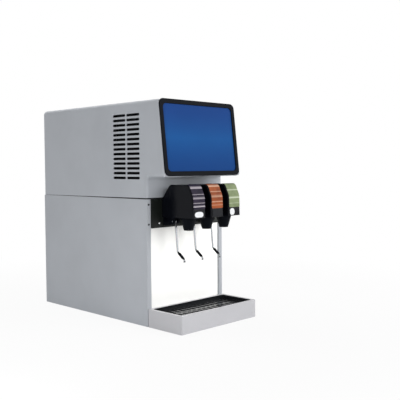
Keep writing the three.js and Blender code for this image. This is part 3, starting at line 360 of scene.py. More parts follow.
def shape(piece, everything=False):
    """Enters edit mode on the piece."""
    choose(piece)
    bpy.ops.object.mode_set(mode="EDIT")
    bpy.ops.mesh.select_mode(type="VERT")
    bpy.ops.mesh.select_all(action="SELECT" if everything else "DESELECT")


def pick(piece, kind, test):
    """Selects only the vertices, edges or faces that pass the test."""
    bpy.ops.mesh.select_mode(type=kind)
    mesh = bmesh.from_edit_mesh(piece.data)
    parts = {"VERT": mesh.verts, "EDGE": mesh.edges, "FACE": mesh.faces}[kind]
    for part in parts:
        part.select_set(False)
    for part in [part for part in parts if test(part)]:
        part.select_set(True)
    mesh.select_flush_mode()
    bmesh.update_edit_mesh(piece.data)


def ends(edge):
    return [vertex.co for vertex in edge.verts]


def both(edge, test):
    return all(test(point) for point in ends(edge))


def along(edge, axis):
    """Whether the edge runs along one axis, 0, 1 or 2."""
    a, b = ends(edge)
    run = b - a
    return abs(run[axis]) > NEARLY * run.length


def sharp(edge):
    """Whether two faces meet at the edge in a corner."""
    return len(edge.link_faces) == 2 and edge.calc_face_angle() > SHARP_ANGLE


def round_edges(piece, test, radius, steps=CURVE_STEPS):
    """Rounds the edges that pass the test, and stays in edit mode."""
    shape(piece)
    pick(piece, "EDGE", test)
    bpy.ops.mesh.bevel(offset=radius, segments=steps, profile=0.5, affect="EDGES")


def block(name, low, high):
    settle()
    low, high = Vector(low), Vector(high)
    bpy.ops.mesh.primitive_cube_add(size=1, location=(low + high) / 2)
    piece = called(name)
    piece.scale = high - low
    return fix_place(piece)


def rounded_block(name, low, high, radius, axis=2, steps=CURVE_STEPS):
    """A block whose four edges along one axis are rounded."""
    piece = block(name, low, high)
    round_edges(piece, lambda edge: along(edge, axis), radius, steps)
    settle()
    return piece


def trace(name, points, bends=None, closed=False, steps=CURVE_STEPS):
    """A line through the points, drawn by extruding one vertex, with its corners rounded.

    bends gives the radius at each corner, by the number of its point.
    """
    points = [Vector(p) for p in points]
    settle()
    bpy.ops.mesh.primitive_plane_add(size=TINY, location=points[0])
    piece = fix_place(called(name))
    shape(piece, everything=True)
    bpy.ops.mesh.merge(type="CENTER")
    for a, b in zip(points, points[1:]):
        bpy.ops.mesh.extrude_vertices_move(TRANSFORM_OT_translate={"value": b - a})
    if closed:
        pick(piece, "VERT", lambda v: len(v.link_edges) == 1)
        bpy.ops.mesh.edge_face_add()
    for k, radius in (bends or {}).items():
        before, at, after = points[k - 1], points[k], points[(k + 1) % len(points)]
        half = (before - at).angle(after - at) / 2
        pick(piece, "VERT", lambda v: (v.co - at).length < TINY)
        bpy.ops.mesh.bevel(
            offset=radius / math.tan(half), segments=steps, profile=0.5, affect="VERTICES")
    return piece


def sweep(piece, run):
    """Draws what is in the open piece along a run, and leaves edit mode."""
    bpy.ops.mesh.select_all(action="SELECT")
    bpy.ops.mesh.extrude_region_move(TRANSFORM_OT_translate={"value": Vector(run)})
    return face_out(piece)


def face_out(piece):
    shape(piece, everything=True)
    bpy.ops.mesh.remove_doubles(threshold=WELD)
    bpy.ops.mesh.normals_make_consistent(inside=False)
    settle()
    return piece


def prism(name, points, run, bends=None, steps=CURVE_STEPS):
    """A solid with the traced outline, drawn along a run."""
    piece = trace(name, points, bends, closed=True, steps=steps)
    bpy.ops.mesh.select_all(action="SELECT")
    bpy.ops.mesh.edge_face_add()
    return sweep(piece, run)


def applied(piece, kind, **values):
    """Adds a modifier with these values and applies it."""
    choose(piece)
    modifier = piece.modifiers.new(kind.lower(), kind)
    for key, value in values.items():
        setattr(modifier, key, value)
    bpy.ops.object.modifier_apply(modifier=modifier.name)
    return piece


def thicken(piece, wall, inside):
    """Gives an open skin its wall, on the side of the point inside."""
    skin = piece.data
    biggest = max(skin.polygons, key=lambda face: face.area)
    if biggest.normal.dot(Vector(inside) - biggest.center) > 0:
        shape(piece, everything=True)
        bpy.ops.mesh.flip_normals()
    return applied(piece, "SOLIDIFY", thickness=wall, offset=-1, use_even_offset=True)


def carve(piece, *tools):
    for tool in tools:
        applied(piece, "BOOLEAN", operation="DIFFERENCE", solver="EXACT", object=tool)
        bpy.data.objects.remove(tool)
    return piece


def weld(piece, *others):
    for other in others:
        applied(piece, "BOOLEAN", operation="UNION", solver="EXACT", object=other)
        bpy.data.objects.remove(other)
    return piece


def copies(piece, count, step):
    return applied(
        piece, "ARRAY", count=count, use_relative_offset=False,
        use_constant_offset=True, constant_offset_displace=Vector(step))


def ease(piece, radius, steps=2, angle=SMOOTH_ANGLE):
    """Breaks every sharp edge of the piece."""
    return applied(
        piece, "BEVEL", width=radius, segments=steps, limit_method="ANGLE", angle_limit=angle,
        use_clamp_overlap=True, miter_outer="MITER_ARC")


def duplicate(piece, name, shift=(0, 0, 0)):
    """A copy with its own mesh, moved by a shift."""
    mesh = piece.data.copy()
    mesh.transform(Matrix.Translation(Vector(shift)))
    other = bpy.data.objects.new(name, mesh)
    mesh.name = name
    bpy.context.scene.collection.objects.link(other)
    return other


def refined(node, name, edge):
    """A copy of a model node, merged, with its flat faces whole and its edges broken."""
    piece = duplicate(frame["nodes"][node], name)
    shape(piece, everything=True)
    bpy.ops.mesh.remove_doubles(threshold=WELD)
    bpy.ops.mesh.dissolve_limited(angle_limit=FLAT_ANGLE)
    settle()
    return ease(piece, edge)


def lathe(name, centre, profile):
    """A closed profile of (radius, height) turned about a vertical axis."""
    centre = Vector(centre)
    piece = trace(name, [centre + Vector((r, 0, h)) for r, h in profile], closed=True)
    bpy.ops.mesh.select_all(action="SELECT")
    bpy.ops.mesh.spin(steps=ROUND_SIDES, angle=2 * math.pi, center=centre, axis=(0, 0, 1))
    return face_out(piece)


def for_each_valve(first, name):
    """The first valve's piece and its copies at the other valves, as (valve number, piece)."""
    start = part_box("valve_cover_1")[0]
    for n in VALVES:
        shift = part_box(f"valve_cover_{n}")[0] - start
        yield n, first if n == 1 else duplicate(first, f"{name}_{n}", shift)


def dress(piece, finish, body="cabinet", nodes=()):
    """Gives the piece its finish and its body, and hides the nodes that it stands for."""
    settle()
    piece.data.materials.clear()
    piece.data.materials.append(FINISHES[finish])
    choose(piece)
    bpy.ops.object.shade_smooth_by_angle(angle=SMOOTH_ANGLE)
    applied(piece, "WEIGHTED_NORMAL", keep_sharp=True, weight=60)
    settle()
    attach(piece, body)
    SLOT_OF.get(finish, finish)
    if nodes:
        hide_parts(*nodes)
    return piece


# Shader nodes


def joined(tree, a, b):
    tree.links.new(a, b)


def put(tree, kind, **values):
    node = tree.nodes.new(kind)
    for key, value in values.items():
        setattr(node, key, value)
    return node


def give(tree, socket, value):
    """Links the socket to the value, or sets it where the value is plain."""
    if isinstance(value, bpy.types.NodeSocket):
        tree.links.new(value, socket)
    else:
        socket.default_value = value


def fed(tree, node, **values):
    """Sets or links a node's inputs by name, with _ for a space."""
    for key, value in values.items():
        give(tree, node.inputs[key.replace("_", " ")], value)
    return node


def noise(tree, place, scale, detail):
    node = put(tree, "ShaderNodeTexNoise")
    return fed(tree, node, Vector=place, Scale=scale, Detail=detail).outputs[0]


def reckon(tree, operation, a, b=0.0, clamp=False):
    node = put(tree, "ShaderNodeMath", operation=operation, use_clamp=clamp)
    for socket, value in zip(node.inputs, (a, b)):
        give(tree, socket, value)
    return node.outputs[0]


def vector_step(tree, operation, a, b):
    node = put(tree, "ShaderNodeVectorMath", operation=operation)
    for socket, value in zip(node.inputs, (a, b)):
        give(tree, socket, value)
    return node.outputs[0]


def parts_of(tree, vector):
    node = put(tree, "ShaderNodeSeparateXYZ")
    joined(tree, vector, node.inputs[0])
    return node.outputs


def between(tree, value, low, high, new_low=0.0, new_high=1.0):
    node = put(tree, "ShaderNodeMapRange", clamp=True, interpolation_type="SMOOTHSTEP")
    fed(tree, node, Value=value, From_Min=low, From_Max=high, To_Min=new_low, To_Max=new_high)
    return node.outputs["Result"]


def blended(tree, factor, a, b):
    node = put(tree, "ShaderNodeMix", data_type="RGBA")
    for socket, value in zip((node.inputs[0], node.inputs[6], node.inputs[7]), (factor, a, b)):
        give(tree, socket, value)
    return node.outputs[2]


def uneven(tree, level, wave, change):
    """A level that rises and falls with a wave between 0 and 1."""
    centred = reckon(tree, "SUBTRACT", wave, 0.5)
    return reckon(tree, "ADD", level, reckon(tree, "MULTIPLY", centred, change))


# Effects that more than one finish uses

EFFECTS = {}


def new_effect(name, inputs, outputs):
    """A shader node group with named inputs and outputs, and its object coordinates."""
    group = bpy.data.node_groups.new(name, "ShaderNodeTree")
    for title, kind, default in inputs:
        socket = group.interface.new_socket(
            name=title, in_out="INPUT", socket_type=f"NodeSocket{kind}")
        socket.default_value = default
    for title, kind in outputs:
        group.interface.new_socket(
            name=title, in_out="OUTPUT", socket_type=f"NodeSocket{kind}")
    EFFECTS[name] = group
    start = group.nodes.new("NodeGroupInput")
    end = group.nodes.new("NodeGroupOutput")
    place = group.nodes.new("ShaderNodeTexCoord").outputs["Object"]
    return group, start.outputs, end.inputs, place


def mottle_effect():
    """Slow changes of a colour over the surface."""
    inputs = [("Colour", "Color", (0.5, 0.5, 0.5, 1)), ("Other", "Color", (0.4, 0.4, 0.4, 1)),
              ("Scale", "Float", 6.0), ("Amount", "Float", 0.3)]
    group, given, out, place = new_effect("mottle", inputs, [("Colour", "Color")])
    mask = between(group, noise(group, place, given["Scale"], 3.0), *CLOUD_EDGES)
    share = reckon(group, "MULTIPLY", mask, given["Amount"])
    joined(group, blended(group, share, given["Colour"], given["Other"]), out["Colour"])


def grain_effect():
    """Fine pimples of paint or moulded plastic, with a little change of gloss."""
    inputs = [("Scale", "Float", 900.0), ("Roughness", "Float", 0.4),
              ("Gloss change", "Float", 0.08)]
    outputs = [("Height", "Float"), ("Roughness", "Float")]
    group, given, out, place = new_effect("grain", inputs, outputs)
    joined(group, noise(group, place, given["Scale"], 1.0), out["Height"])
    wide = noise(group, place, GLOSS_SCALE, 3.0)
    joined(group, uneven(group, given["Roughness"], wide, given["Gloss change"]),
           out["Roughness"])


def brushed_effect():
    """Long fine scratches of rolled or brushed metal."""
    inputs = [("Stretch", "Vector", (30.0, 900.0, 900.0)), ("Roughness", "Float", 0.3),
              ("Gloss change", "Float", 0.15)]
    outputs = [("Height", "Float"), ("Roughness", "Float")]
    group, given, out, place = new_effect("brushed", inputs, outputs)
    lines = noise(group, vector_step(group, "MULTIPLY", place, given["Stretch"]), 1.0, 3.0)
    joined(group, lines, out["Height"])
    joined(group, uneven(group, given["Roughness"], lines, given["Gloss change"]),
           out["Roughness"])


def dust_effect():
    """Where faces that look up have gathered a little dust."""
    inputs = [("Amount", "Float", 0.2)]
    group, given, out, place = new_effect("dust", inputs, [("Mask", "Float")])
    facing = parts_of(group, put(group, "ShaderNodeNewGeometry").outputs["Normal"])
    upward = between(group, facing["Z"], *DUST_FACING)
    specks = between(group, noise(group, place, DUST_SCALE, 5.0), *DUST_EDGES)
    mask = reckon(group, "MULTIPLY", upward, specks)
    joined(group, reckon(group, "MULTIPLY", mask, given["Amount"], clamp=True), out["Mask"])


def bands_effect():
    """A level band with a soft top, by its lower edge and its share of the span."""
    inputs = [("Rise", "Float", 0.4), ("Share", "Float", 0.3)]
    group, given, out, place = new_effect("bands", inputs, [("Mask", "Float")])
    height = reckon(group, "SUBTRACT", parts_of(group, place)["Z"], given["Rise"])
    turns = reckon(group, "FRACT", reckon(group, "DIVIDE", height, BAND_SPAN))
    edge = reckon(group, "SUBTRACT", given["Share"], turns)
    joined(group, reckon(group, "MULTIPLY", edge, BAND_CRISPNESS, clamp=True), out["Mask"])


def painted_highlight_effect():
    """A rounded painted highlight round a centre, seen from the front."""
    inputs = [("Centre", "Vector", (0.0, 0.0, 0.0)), ("Radii", "Vector", (1.0, 1.0, 1.0))]
    group, given, out, place = new_effect("painted_highlight", inputs, [("Mask", "Float")])
    centred = vector_step(group, "SUBTRACT", place, given["Centre"])
    parts = parts_of(group, vector_step(group, "DIVIDE", centred, given["Radii"]))
    powers = [reckon(group, "POWER", reckon(group, "ABSOLUTE", parts[axis]), PATCH_POWER)
              for axis in ("X", "Z")]
    total = reckon(group, "ADD", *powers)
    joined(group, between(group, total, *PATCH_EDGES, 1.0, 0.0), out["Mask"])


def make_effects():
    for make in (mottle_effect, grain_effect, brushed_effect, dust_effect, bands_effect,
                 painted_highlight_effect):
        make()


# Finishes

FINISHES = {}

# The slot of each finish whose name isn't its slot's.
SLOT_OF = {
    "rest_painted_reflection": "gloss_black",
    "plate_gloss_1": "gloss_black",
    "plate_gloss_2": "gloss_black",
    "plate_gloss_3": "gloss_black",
    "lever_painted_reflection": "stainless",
    "deck_painted_shade": "zinc_steel",
    "valve_plate_painted_reflection": "black_plastic",
}

DUST = tone(150, 148, 142)
# Painted highlight: the white of the spots that stand in for reflections on the front plates.
PAINTED_HIGHLIGHT_WHITE = tone(236, 238, 240)

# Each painted highlight from the middle of its plate's foot: shift, rise, half its width, half its
# height.
PAINTED_HIGHLIGHTS = {1: (-0.002, 0.0115, 0.0185, 0.0090), 3: (-0.0120, 0.0135, 0.0110, 0.0110)}

# Each label's base, deep and pale colours, and its bands: rise, share of the span, strength.
LABELS = (
    ("label_purple", tone(50, 44, 60), tone(32, 29, 42), tone(236, 228, 236), (
        (0.4410, 0.045, 0.45), (0.4225, 0.015, 0.85), (0.4090, 0.040, 0.35),
        (0.3955, 0.016, 0.9), (0.3840, 0.030, 0.6))),
    ("label_orange", tone(164, 88, 52), tone(124, 66, 44), tone(246, 212, 184), (
        (0.4450, 0.040, 0.5), (0.4290, 0.018, 0.8), (0.4120, 0.045, 0.3),
        (0.3970, 0.020, 0.8), (0.3860, 0.024, 0.3))),
    ("label_green", tone(138, 150, 114), tone(114, 126, 92), tone(230, 238, 214), (
        (0.4320, 0.022, 0.85), (0.4060, 0.036, 0.6), (0.3890, 0.016, 0.6))),
)


def new_finish(name):
    """A material with a Principled shader, as (its tree, the shader)."""
    material = bpy.data.materials.new(name)
    FINISHES[name] = material
    material.use_nodes = True
    return material.node_tree, material.node_tree.nodes["Principled BSDF"]


def effect(tree, name, **values):
    node = put(tree, "ShaderNodeGroup", node_tree=EFFECTS[name])
    return fed(tree, node, **values).outputs


def rgba(colour):
    return (*colour, 1.0)


def shaded(colour, share):
    return tuple(c * share for c in colour)


def mottled(tree, colour, share, scale, amount):
    """A colour that drifts towards a share of itself."""
    return effect(tree, "mottle", Colour=rgba(colour), Other=rgba(shaded(colour, share)),
                  Scale=scale, Amount=amount)["Colour"]


def complete(tree, shader, base, texture, depth, **values):
    """Gives the shader its colour, a texture's gloss and height, and its plain values."""
    joined(tree, base, shader.inputs["Base Color"])
    joined(tree, texture["Roughness"], shader.inputs["Roughness"])
    bump = fed(tree, put(tree, "ShaderNodeBump"), Height=texture["Height"], Distance=depth)
    joined(tree, bump.outputs[0], shader.inputs["Normal"])
    fed(tree, shader, **values)


def plain_finish(name, colour, roughness, grain, depth, change=0.08, dusty=0.0, specular=0.5,
                 coat=0.0, coat_roughness=0.03):
    """Paint or plastic: slow changes of colour, grain, uneven gloss and a little dust."""
    tree, shader = new_finish(name)
    base = mottled(tree, colour, PLAIN_DRIFT, scale=7.0, amount=0.35)
    texture = effect(tree, "grain", Scale=grain, Roughness=roughness, Gloss_change=change)
    if dusty:
        mask = effect(tree, "dust", Amount=dusty)["Mask"]
        base = blended(tree, mask, base, rgba(DUST))
    complete(tree, shader, base, texture, depth, Specular_IOR_Level=specular,
             Coat_Weight=coat, Coat_Roughness=coat_roughness)


def metal_finish(name, colour, roughness, stretch, change=0.15, metallic=1.0, amount=0.4,
                 specular=0.5):
    """Rolled, drawn or brushed metal."""
    tree, shader = new_finish(name)
    base = mottled(tree, colour, METAL_DRIFT, scale=9.0, amount=amount)
    texture = effect(tree, "brushed", Stretch=stretch, Roughness=roughness,
                     Gloss_change=change)
    complete(tree, shader, base, texture, SCRATCH_DEPTH, Metallic=metallic,
             Specular_IOR_Level=specular)


def lens_finish(colours, low, high):
    """The lit panel: three tints up its height, darker towards its sides."""
    tree, shader = new_finish("blue_lens")
    place = put(tree, "ShaderNodeTexCoord").outputs["Object"]
    parts = parts_of(tree, place)
    ramp = put(tree, "ShaderNodeValToRGB")
    ramp.color_ramp.elements[0].color = rgba(colours.lens_bottom)
    ramp.color_ramp.elements[1].color = rgba(colours.lens_top)
    ramp.color_ramp.elements.new(0.5).color = rgba(colours.lens_middle)
    joined(tree, between(tree, parts["Z"], low.z, high.z), ramp.inputs[0])
    cloud = between(tree, noise(tree, place, LENS_CLOUD_SCALE, 1.0), *LENS_CLOUD_EDGES,
                    0.0, LENS_CLOUD_STRENGTH)
    tint = blended(tree, cloud, ramp.outputs[0],
                   rgba(shaded(colours.lens_bottom, LENS_CLOUD_TONE)))
    across = reckon(tree, "ABSOLUTE", parts["X"])
    side = between(tree, across, high.x * LENS_SIDE_START, high.x, 0.0, LENS_SIDE_STRENGTH)
    tint = blended(tree, side, tint, rgba(shaded(colours.lens_bottom, LENS_SIDE_TONE)))
    joined(tree, tint, shader.inputs["Emission Color"])
    texture = effect(tree, "grain", Scale=500.0, Roughness=0.34, Gloss_change=0.08)
    complete(tree, shader, tint, texture, SMOOTH_DEPTH, Emission_Strength=0.30,
             Specular_IOR_Level=0.02)


def label_finish(name, base, deep, pale, bands):
    """A printed label: a slow change of colour with a few plain level bands."""
    tree, shader = new_finish(name)
    colour = effect(tree, "mottle", Colour=rgba(base), Other=rgba(deep), Scale=38.0,
                    Amount=0.8)["Colour"]
    for rise, share, strength in bands:
        mask = effect(tree, "bands", Rise=rise, Share=share)["Mask"]
        colour = blended(tree, reckon(tree, "MULTIPLY", mask, strength), colour, rgba(pale))
    texture = effect(tree, "grain", Scale=700.0, Roughness=0.3, Gloss_change=0.1)
    complete(tree, shader, colour, texture, SMOOTH_DEPTH, Specular_IOR_Level=0.04)


def plate_finish(n, colour, middle, foot):
    """Mirror-smooth black. The outer valves' plates carry a painted highlight: a plain white
    rounded spot that stands in for a reflection.
    """
    tree, shader = new_finish(f"plate_gloss_{n}")
    base = mottled(tree, colour, PLATE_DRIFT, scale=30.0, amount=0.5)
    if n in PAINTED_HIGHLIGHTS:
        # Painted highlight: a white spot where the plate would show a reflection.
        shift, rise, half_width, half_height = PAINTED_HIGHLIGHTS[n]
        mask = effect(tree, "painted_highlight", Centre=(middle + shift, 0, foot + rise),
                      Radii=(half_width, 1, half_height))["Mask"]
        base = blended(tree, mask, base, rgba(PAINTED_HIGHLIGHT_WHITE))
    texture = effect(tree, "grain", Scale=200.0, Roughness=0.1, Gloss_change=0.06)
    complete(tree, shader, base, texture, SMOOTH_DEPTH, Specular_IOR_Level=0.06)


def make_finishes(colours):
    """Makes every finish. Each grain is in pimples per metre, and each depth in metres."""
    plain_finish("cabinet_paint", colours.paint, roughness=0.56, grain=1100, depth=0.00006,
                 dusty=0.05, specular=0.2, coat=0.05, coat_roughness=0.3)
    plain_finish("tray_paint", colours.tray_paint, roughness=0.45, grain=1100, depth=0.00005,
                 specular=0.3, coat=0.3, coat_roughness=0.2)
    metal_finish("splash_steel", colours.splash, roughness=0.7, stretch=(25, 700, 1200),
                 change=0.05, metallic=0.8, amount=0.12)
    plain_finish("black_plastic", colours.black, roughness=0.48, grain=1500, depth=0.00005,
                 dusty=0.02, specular=0.04)
    plain_finish("gloss_black", colours.gloss, roughness=0.16, grain=220, depth=0.00001,
                 change=0.06, specular=0.09)
    # Painted reflection: a lighter copy of the black plastic lifts the shaded valve plate.
    plain_finish("valve_plate_painted_reflection", tone(24, 28, 25), roughness=0.4, grain=400, depth=0.00004,
                 specular=0.25)
    # Painted reflection: a lighter copy of the gloss black stands in for the sheen seen on the cup
    # rest.
    plain_finish("rest_painted_reflection", tone(30, 32, 35), roughness=0.24, grain=220, depth=0.00002,
                 change=0.1, specular=0.1)
    lens_finish(colours, *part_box("display_lens"))
    plain_finish("circuit_board", tone(60, 110, 76), roughness=0.5, grain=600, depth=0.00005)
    metal_finish("stainless", colours.stainless, roughness=0.2, stretch=(60, 60, 900))
    # Painted reflection: a darker copy of the stainless finish stands in for the dark reflections
    # on the levers.
    metal_finish("lever_painted_reflection", colours.lever, roughness=0.24, stretch=(60, 60, 900))
    metal_finish("zinc_steel", colours.zinc, roughness=0.45, stretch=(300, 90, 90),
                 change=0.3)
    # Painted shade: a dark copy of the zinc finish, so the seam under the cover reads as a shadow
    # line.
    metal_finish("deck_painted_shade", tone(34, 35, 37), roughness=0.5, stretch=(90, 300, 90),
                 metallic=0.2)
    # Painted shade: fins far darker than aluminium, with little reflection, so the air slots look
    # shaded inside.
    metal_finish("aluminium_fins", tone(12, 12, 13), roughness=0.5, stretch=(500, 500, 30),
                 metallic=0.0, specular=0.05)
    metal_finish("copper", tone(196, 126, 86), roughness=0.32, stretch=(80, 80, 500))
    plain_finish("black_enamel", tone(26, 26, 28), roughness=0.35, grain=400, depth=0.00006,
                 dusty=0.2, coat=0.3)
    plain_finish("foam_insulation", tone(226, 222, 210), roughness=0.75, grain=300,
                 depth=0.0002)
    plain_finish("ivory_plastic", tone(230, 227, 216), roughness=0.45, grain=900,
                 depth=0.00004)
    for label in LABELS:
        label_finish(*label)
    for n in VALVES:
        low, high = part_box(f"valve_cover_{n}")
        plate_finish(n, colours.gloss, (low.x + high.x) / 2, low.z)


# Pieces


def display_turn():
    """From the display's own plane, x across, y up the slant and z outwards, to its place."""
    low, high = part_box("upper_cover")
    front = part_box("left_side_panel")[0].y
    foot = low.z + NECK_HEIGHT
    lean = math.atan2(HEAD_LEAN, high.z - foot)
    middle = Vector((0, front - DISPLAY_TOP_REACH - HEAD_LEAN / 2, (high.z + foot) / 2))
    return Matrix.Translation(middle) @ Matrix.Rotation(QUARTER - lean, 4, "X")


def display_window():
    """Half the width, the foot and the top of the display's window."""
    low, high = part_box("upper_cover")
    slant = math.hypot(HEAD_LEAN, high.z - low.z - NECK_HEIGHT)
    edge = BEZEL_INSET + BEZEL_BORDER
    return high.x - edge, edge - slant / 2, slant / 2 + BEZEL_TOP_RISE - BEZEL_BORDER


def display_block(name, grow, back, face, corner, steps=CURVE_STEPS):
    """A rounded block round the window, still flat in the display's own plane."""
    half, foot, top = display_window()
    return rounded_block(
        name, (-half - grow, foot - grow, back), (half + grow, top + grow, face),
        corner, steps=steps)


def set_in_display(piece):
    piece.matrix_world = display_turn()
    return fix_place(piece)


class DISPENSER_OT_upper_cover(bpy.types.Operator):
    """Folded cover with the display head and its air slots"""
    bl_idname = "dispenser.upper_cover"
    bl_label = "Upper cover"

    def execute(self, context):
        radius = context.scene.dispenser_sizes.edge_radius
        low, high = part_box("upper_cover")
        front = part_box("left_side_panel")[0].y
        foot = low.z + NECK_HEIGHT
        cover = block("upper_cover_shell", (low.x, front, low.z), high)
        shape(cover)
        pick(cover, "FACE", lambda face: face.normal.y < -FACING)
        bpy.ops.mesh.bisect(plane_co=(0, 0, foot), plane_no=(0, 0, 1))
        pick(cover, "FACE",
             lambda face: face.normal.y < -FACING and face.calc_center_median().z > foot)
        forward = (0, low.y + HEAD_LEAN - front, 0)
        bpy.ops.mesh.extrude_region_move(TRANSFORM_OT_translate={"value": forward})
        pick(cover, "VERT", lambda v: v.co.y < front - TINY and v.co.z < foot + TINY)
        bpy.ops.transform.translate(value=(0, -HEAD_LEAN, 0))
        pick(cover, "EDGE", lambda edge: both(
            edge, lambda p: abs(p.y - front) < TINY and p.z > foot - TINY)
            and not both(edge, lambda p: p.z < foot + TINY))
        bpy.ops.mesh.dissolve_edges(use_verts=False)

        round_edges(cover, lambda edge: both(
            edge, lambda p: abs(p.z - high.z) < TINY and abs(p.y - high.y) < TINY),
            REAR_RADIUS, LONG_CURVE_STEPS)

        def outer(edge):
            at_side = both(edge, lambda p: abs(abs(p.x) - high.x) < TINY)
            at_foot = both(edge, lambda p: abs(p.z - low.z) < TINY)
            across = along(edge, 0)
            beside_display = not across and not along(edge, 1) and both(
                edge, lambda p: p.z > foot - TINY and p.y < front - TINY)
            rounded = across and both(edge, lambda p: p.z > high.z - REAR_RADIUS - TINY
                                      and p.y > high.y - REAR_RADIUS - TINY)
            return at_side and not (at_foot or beside_display or rounded)

        round_edges(cover, outer, radius, LONG_CURVE_STEPS)
        pick(cover, "FACE", lambda face: face.normal.z < -FACING and abs(
            face.calc_center_median().z - low.z) < TINY)
        bpy.ops.mesh.delete(type="FACE")
        settle()
        thicken(cover, COVER_WALL, (0, 0, (low.z + high.z) / 2))
        shape(cover)
        pick(cover, "VERT", lambda v: v.co.z < low.z + TINY and v.co.y < 0)
        bpy.ops.transform.translate(value=(0, 0, SEAM_RISE))
        settle()

        opening = display_block(
            "opening", OPENING_GROW, -4 * COVER_WALL, COVER_WALL, BEZEL_CORNER)
        carve(cover, set_in_display(opening))

        first = low.z + SLOT_RISE
        half = SLOT_HEIGHT / 2
        slot = rounded_block(
            "slot", (low.x - SHEET, front + SLOT_FIRST, first - half),
            (high.x + SHEET, front + SLOT_FIRST + SLOT_LENGTH, first + half),
            half * SLOT_ROUND, axis=0, steps=4)
        copies(slot, SLOT_ROWS, (0, 0, SLOT_PITCH))
        copies(slot, 2, (0, SLOT_LENGTH + SLOT_GAP, 0))
        rear = rounded_block(
            "rear_slot",
            (-REAR_SLOT_SPREAD - SLOT_LENGTH / 2, high.y - 2 * COVER_WALL, first - half),
            (-REAR_SLOT_SPREAD + SLOT_LENGTH / 2, high.y + SHEET, first + half),
            half * SLOT_ROUND, axis=1, steps=4)
        copies(rear, REAR_SLOT_ROWS, (0, 0, SLOT_PITCH))
        copies(rear, 2, (2 * REAR_SLOT_SPREAD, 0, 0))
        carve(cover, slot, rear)

        lowest, top = first - half - TINY, first + SLOT_PITCH * SLOT_ROWS
        nearest = front + SLOT_FIRST - TINY
        furthest = front + SLOT_FIRST + 2 * SLOT_LENGTH + SLOT_GAP + TINY
        reach = REAR_SLOT_SPREAD + SLOT_LENGTH

        def slot_lip(edge):
            side = both(edge, lambda p: abs(abs(p.x) - high.x) < TINY
                        and nearest < p.y < furthest and lowest < p.z < top)
            behind = both(edge, lambda p: abs(p.y - high.y) < TINY
                          and abs(p.x) < reach and lowest < p.z < top)
            return (side or behind) and sharp(edge)

        round_edges(cover, slot_lip, SLOT_LIP, 2)
        dress(cover, "cabinet_paint", nodes=["upper_cover"])
        return {"FINISHED"}


class DISPENSER_OT_side_panels(bpy.types.Operator):
    """Folded side panels with their front posts"""
    bl_idname = "dispenser.side_panels"
    bl_label = "Side panels"

    def execute(self, context):
        for side, node in ((-1, "left_side_panel"), (1, "right_side_panel")):
            low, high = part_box(node)
            outer = low.x if side < 0 else high.x
            inward = -side
            line = [
                (outer + inward * POST_RETURN, high.y, low.z),
                (outer, high.y, low.z),
                (outer, low.y, low.z),
                (outer + inward * POST_WIDTH, low.y, low.z),
                (outer + inward * POST_WIDTH, low.y + POST_RETURN, low.z),
            ]
            panel = trace(f"{node}_skin", line, {1: BEND_RADIUS, 2: BEND_RADIUS, 3: BEND_RADIUS})
            sweep(panel, (0, 0, high.z - low.z))
            thicken(panel, SHEET, (0, 0, high.z / 2))
            dress(panel, "cabinet_paint", nodes=[node])
        return {"FINISHED"}


class DISPENSER_OT_front_panels(bpy.types.Operator):
    """Splash panel behind the cups and the plate that carries the valves"""
    bl_idname = "dispenser.front_panels"
    bl_label = "Splash panel and valve plate"

    def execute(self, context):
        low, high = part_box("splash_panel")
        line = [(low.x, high.y, low.z), (low.x, low.y, low.z),
                (high.x, low.y, low.z), (high.x, high.y, low.z)]
        panel = trace("splash_panel_skin", line, {1: BEND_RADIUS, 2: BEND_RADIUS})
        sweep(panel, (0, 0, high.z - low.z))
        thicken(panel, SHEET, (0, 0, high.z / 2))
        dress(panel, "splash_steel", nodes=["splash_panel"])
        plate = refined("valve_plate", "valve_plate_moulding", PLATE_EDGE)
        dress(plate, "valve_plate_painted_reflection", nodes=["valve_plate"])
        return {"FINISHED"}


class DISPENSER_OT_display(bpy.types.Operator):
    """Display frame and its lit panel"""
    bl_idname = "dispenser.display"
    bl_label = "Display"

    def execute(self, context):
        edge = context.scene.dispenser_sizes.bezel_edge
        bezel = display_block(
            "display_frame", BEZEL_BORDER, -BEZEL_THICKNESS, 0, BEZEL_CORNER,
            LONG_CURVE_STEPS)
        rim = display_block("rim", RIM_GROW, -RIM_DEPTH, -BEZEL_THICKNESS / 2, BEZEL_CORNER)
        weld(bezel, rim)
        bore = display_block(
            "bore", BORE_GROW, -RIM_DEPTH - SHEET, -BEZEL_THICKNESS, BEZEL_CORNER)
        window = display_block(
            "window", 0, -RIM_DEPTH, SHEET, WINDOW_CORNER, LONG_CURVE_STEPS)
        carve(bezel, bore, window)
        round_edges(
            bezel, lambda e: both(e, lambda p: abs(p.z) < TINY) and sharp(e), edge, 3)
        settle()
        set_in_display(bezel)
        dress(bezel, "black_plastic", nodes=["display_bezel"])

        lens = display_block(
            "display_panel", LENS_GROW, -LENS_SETBACK - LENS_THICKNESS, -LENS_SETBACK,
            BEZEL_CORNER, LONG_CURVE_STEPS)
        ease(lens, LENS_EDGE)
        set_in_display(lens)
        dress(lens, "blue_lens", nodes=["display_lens"])
        return {"FINISHED"}


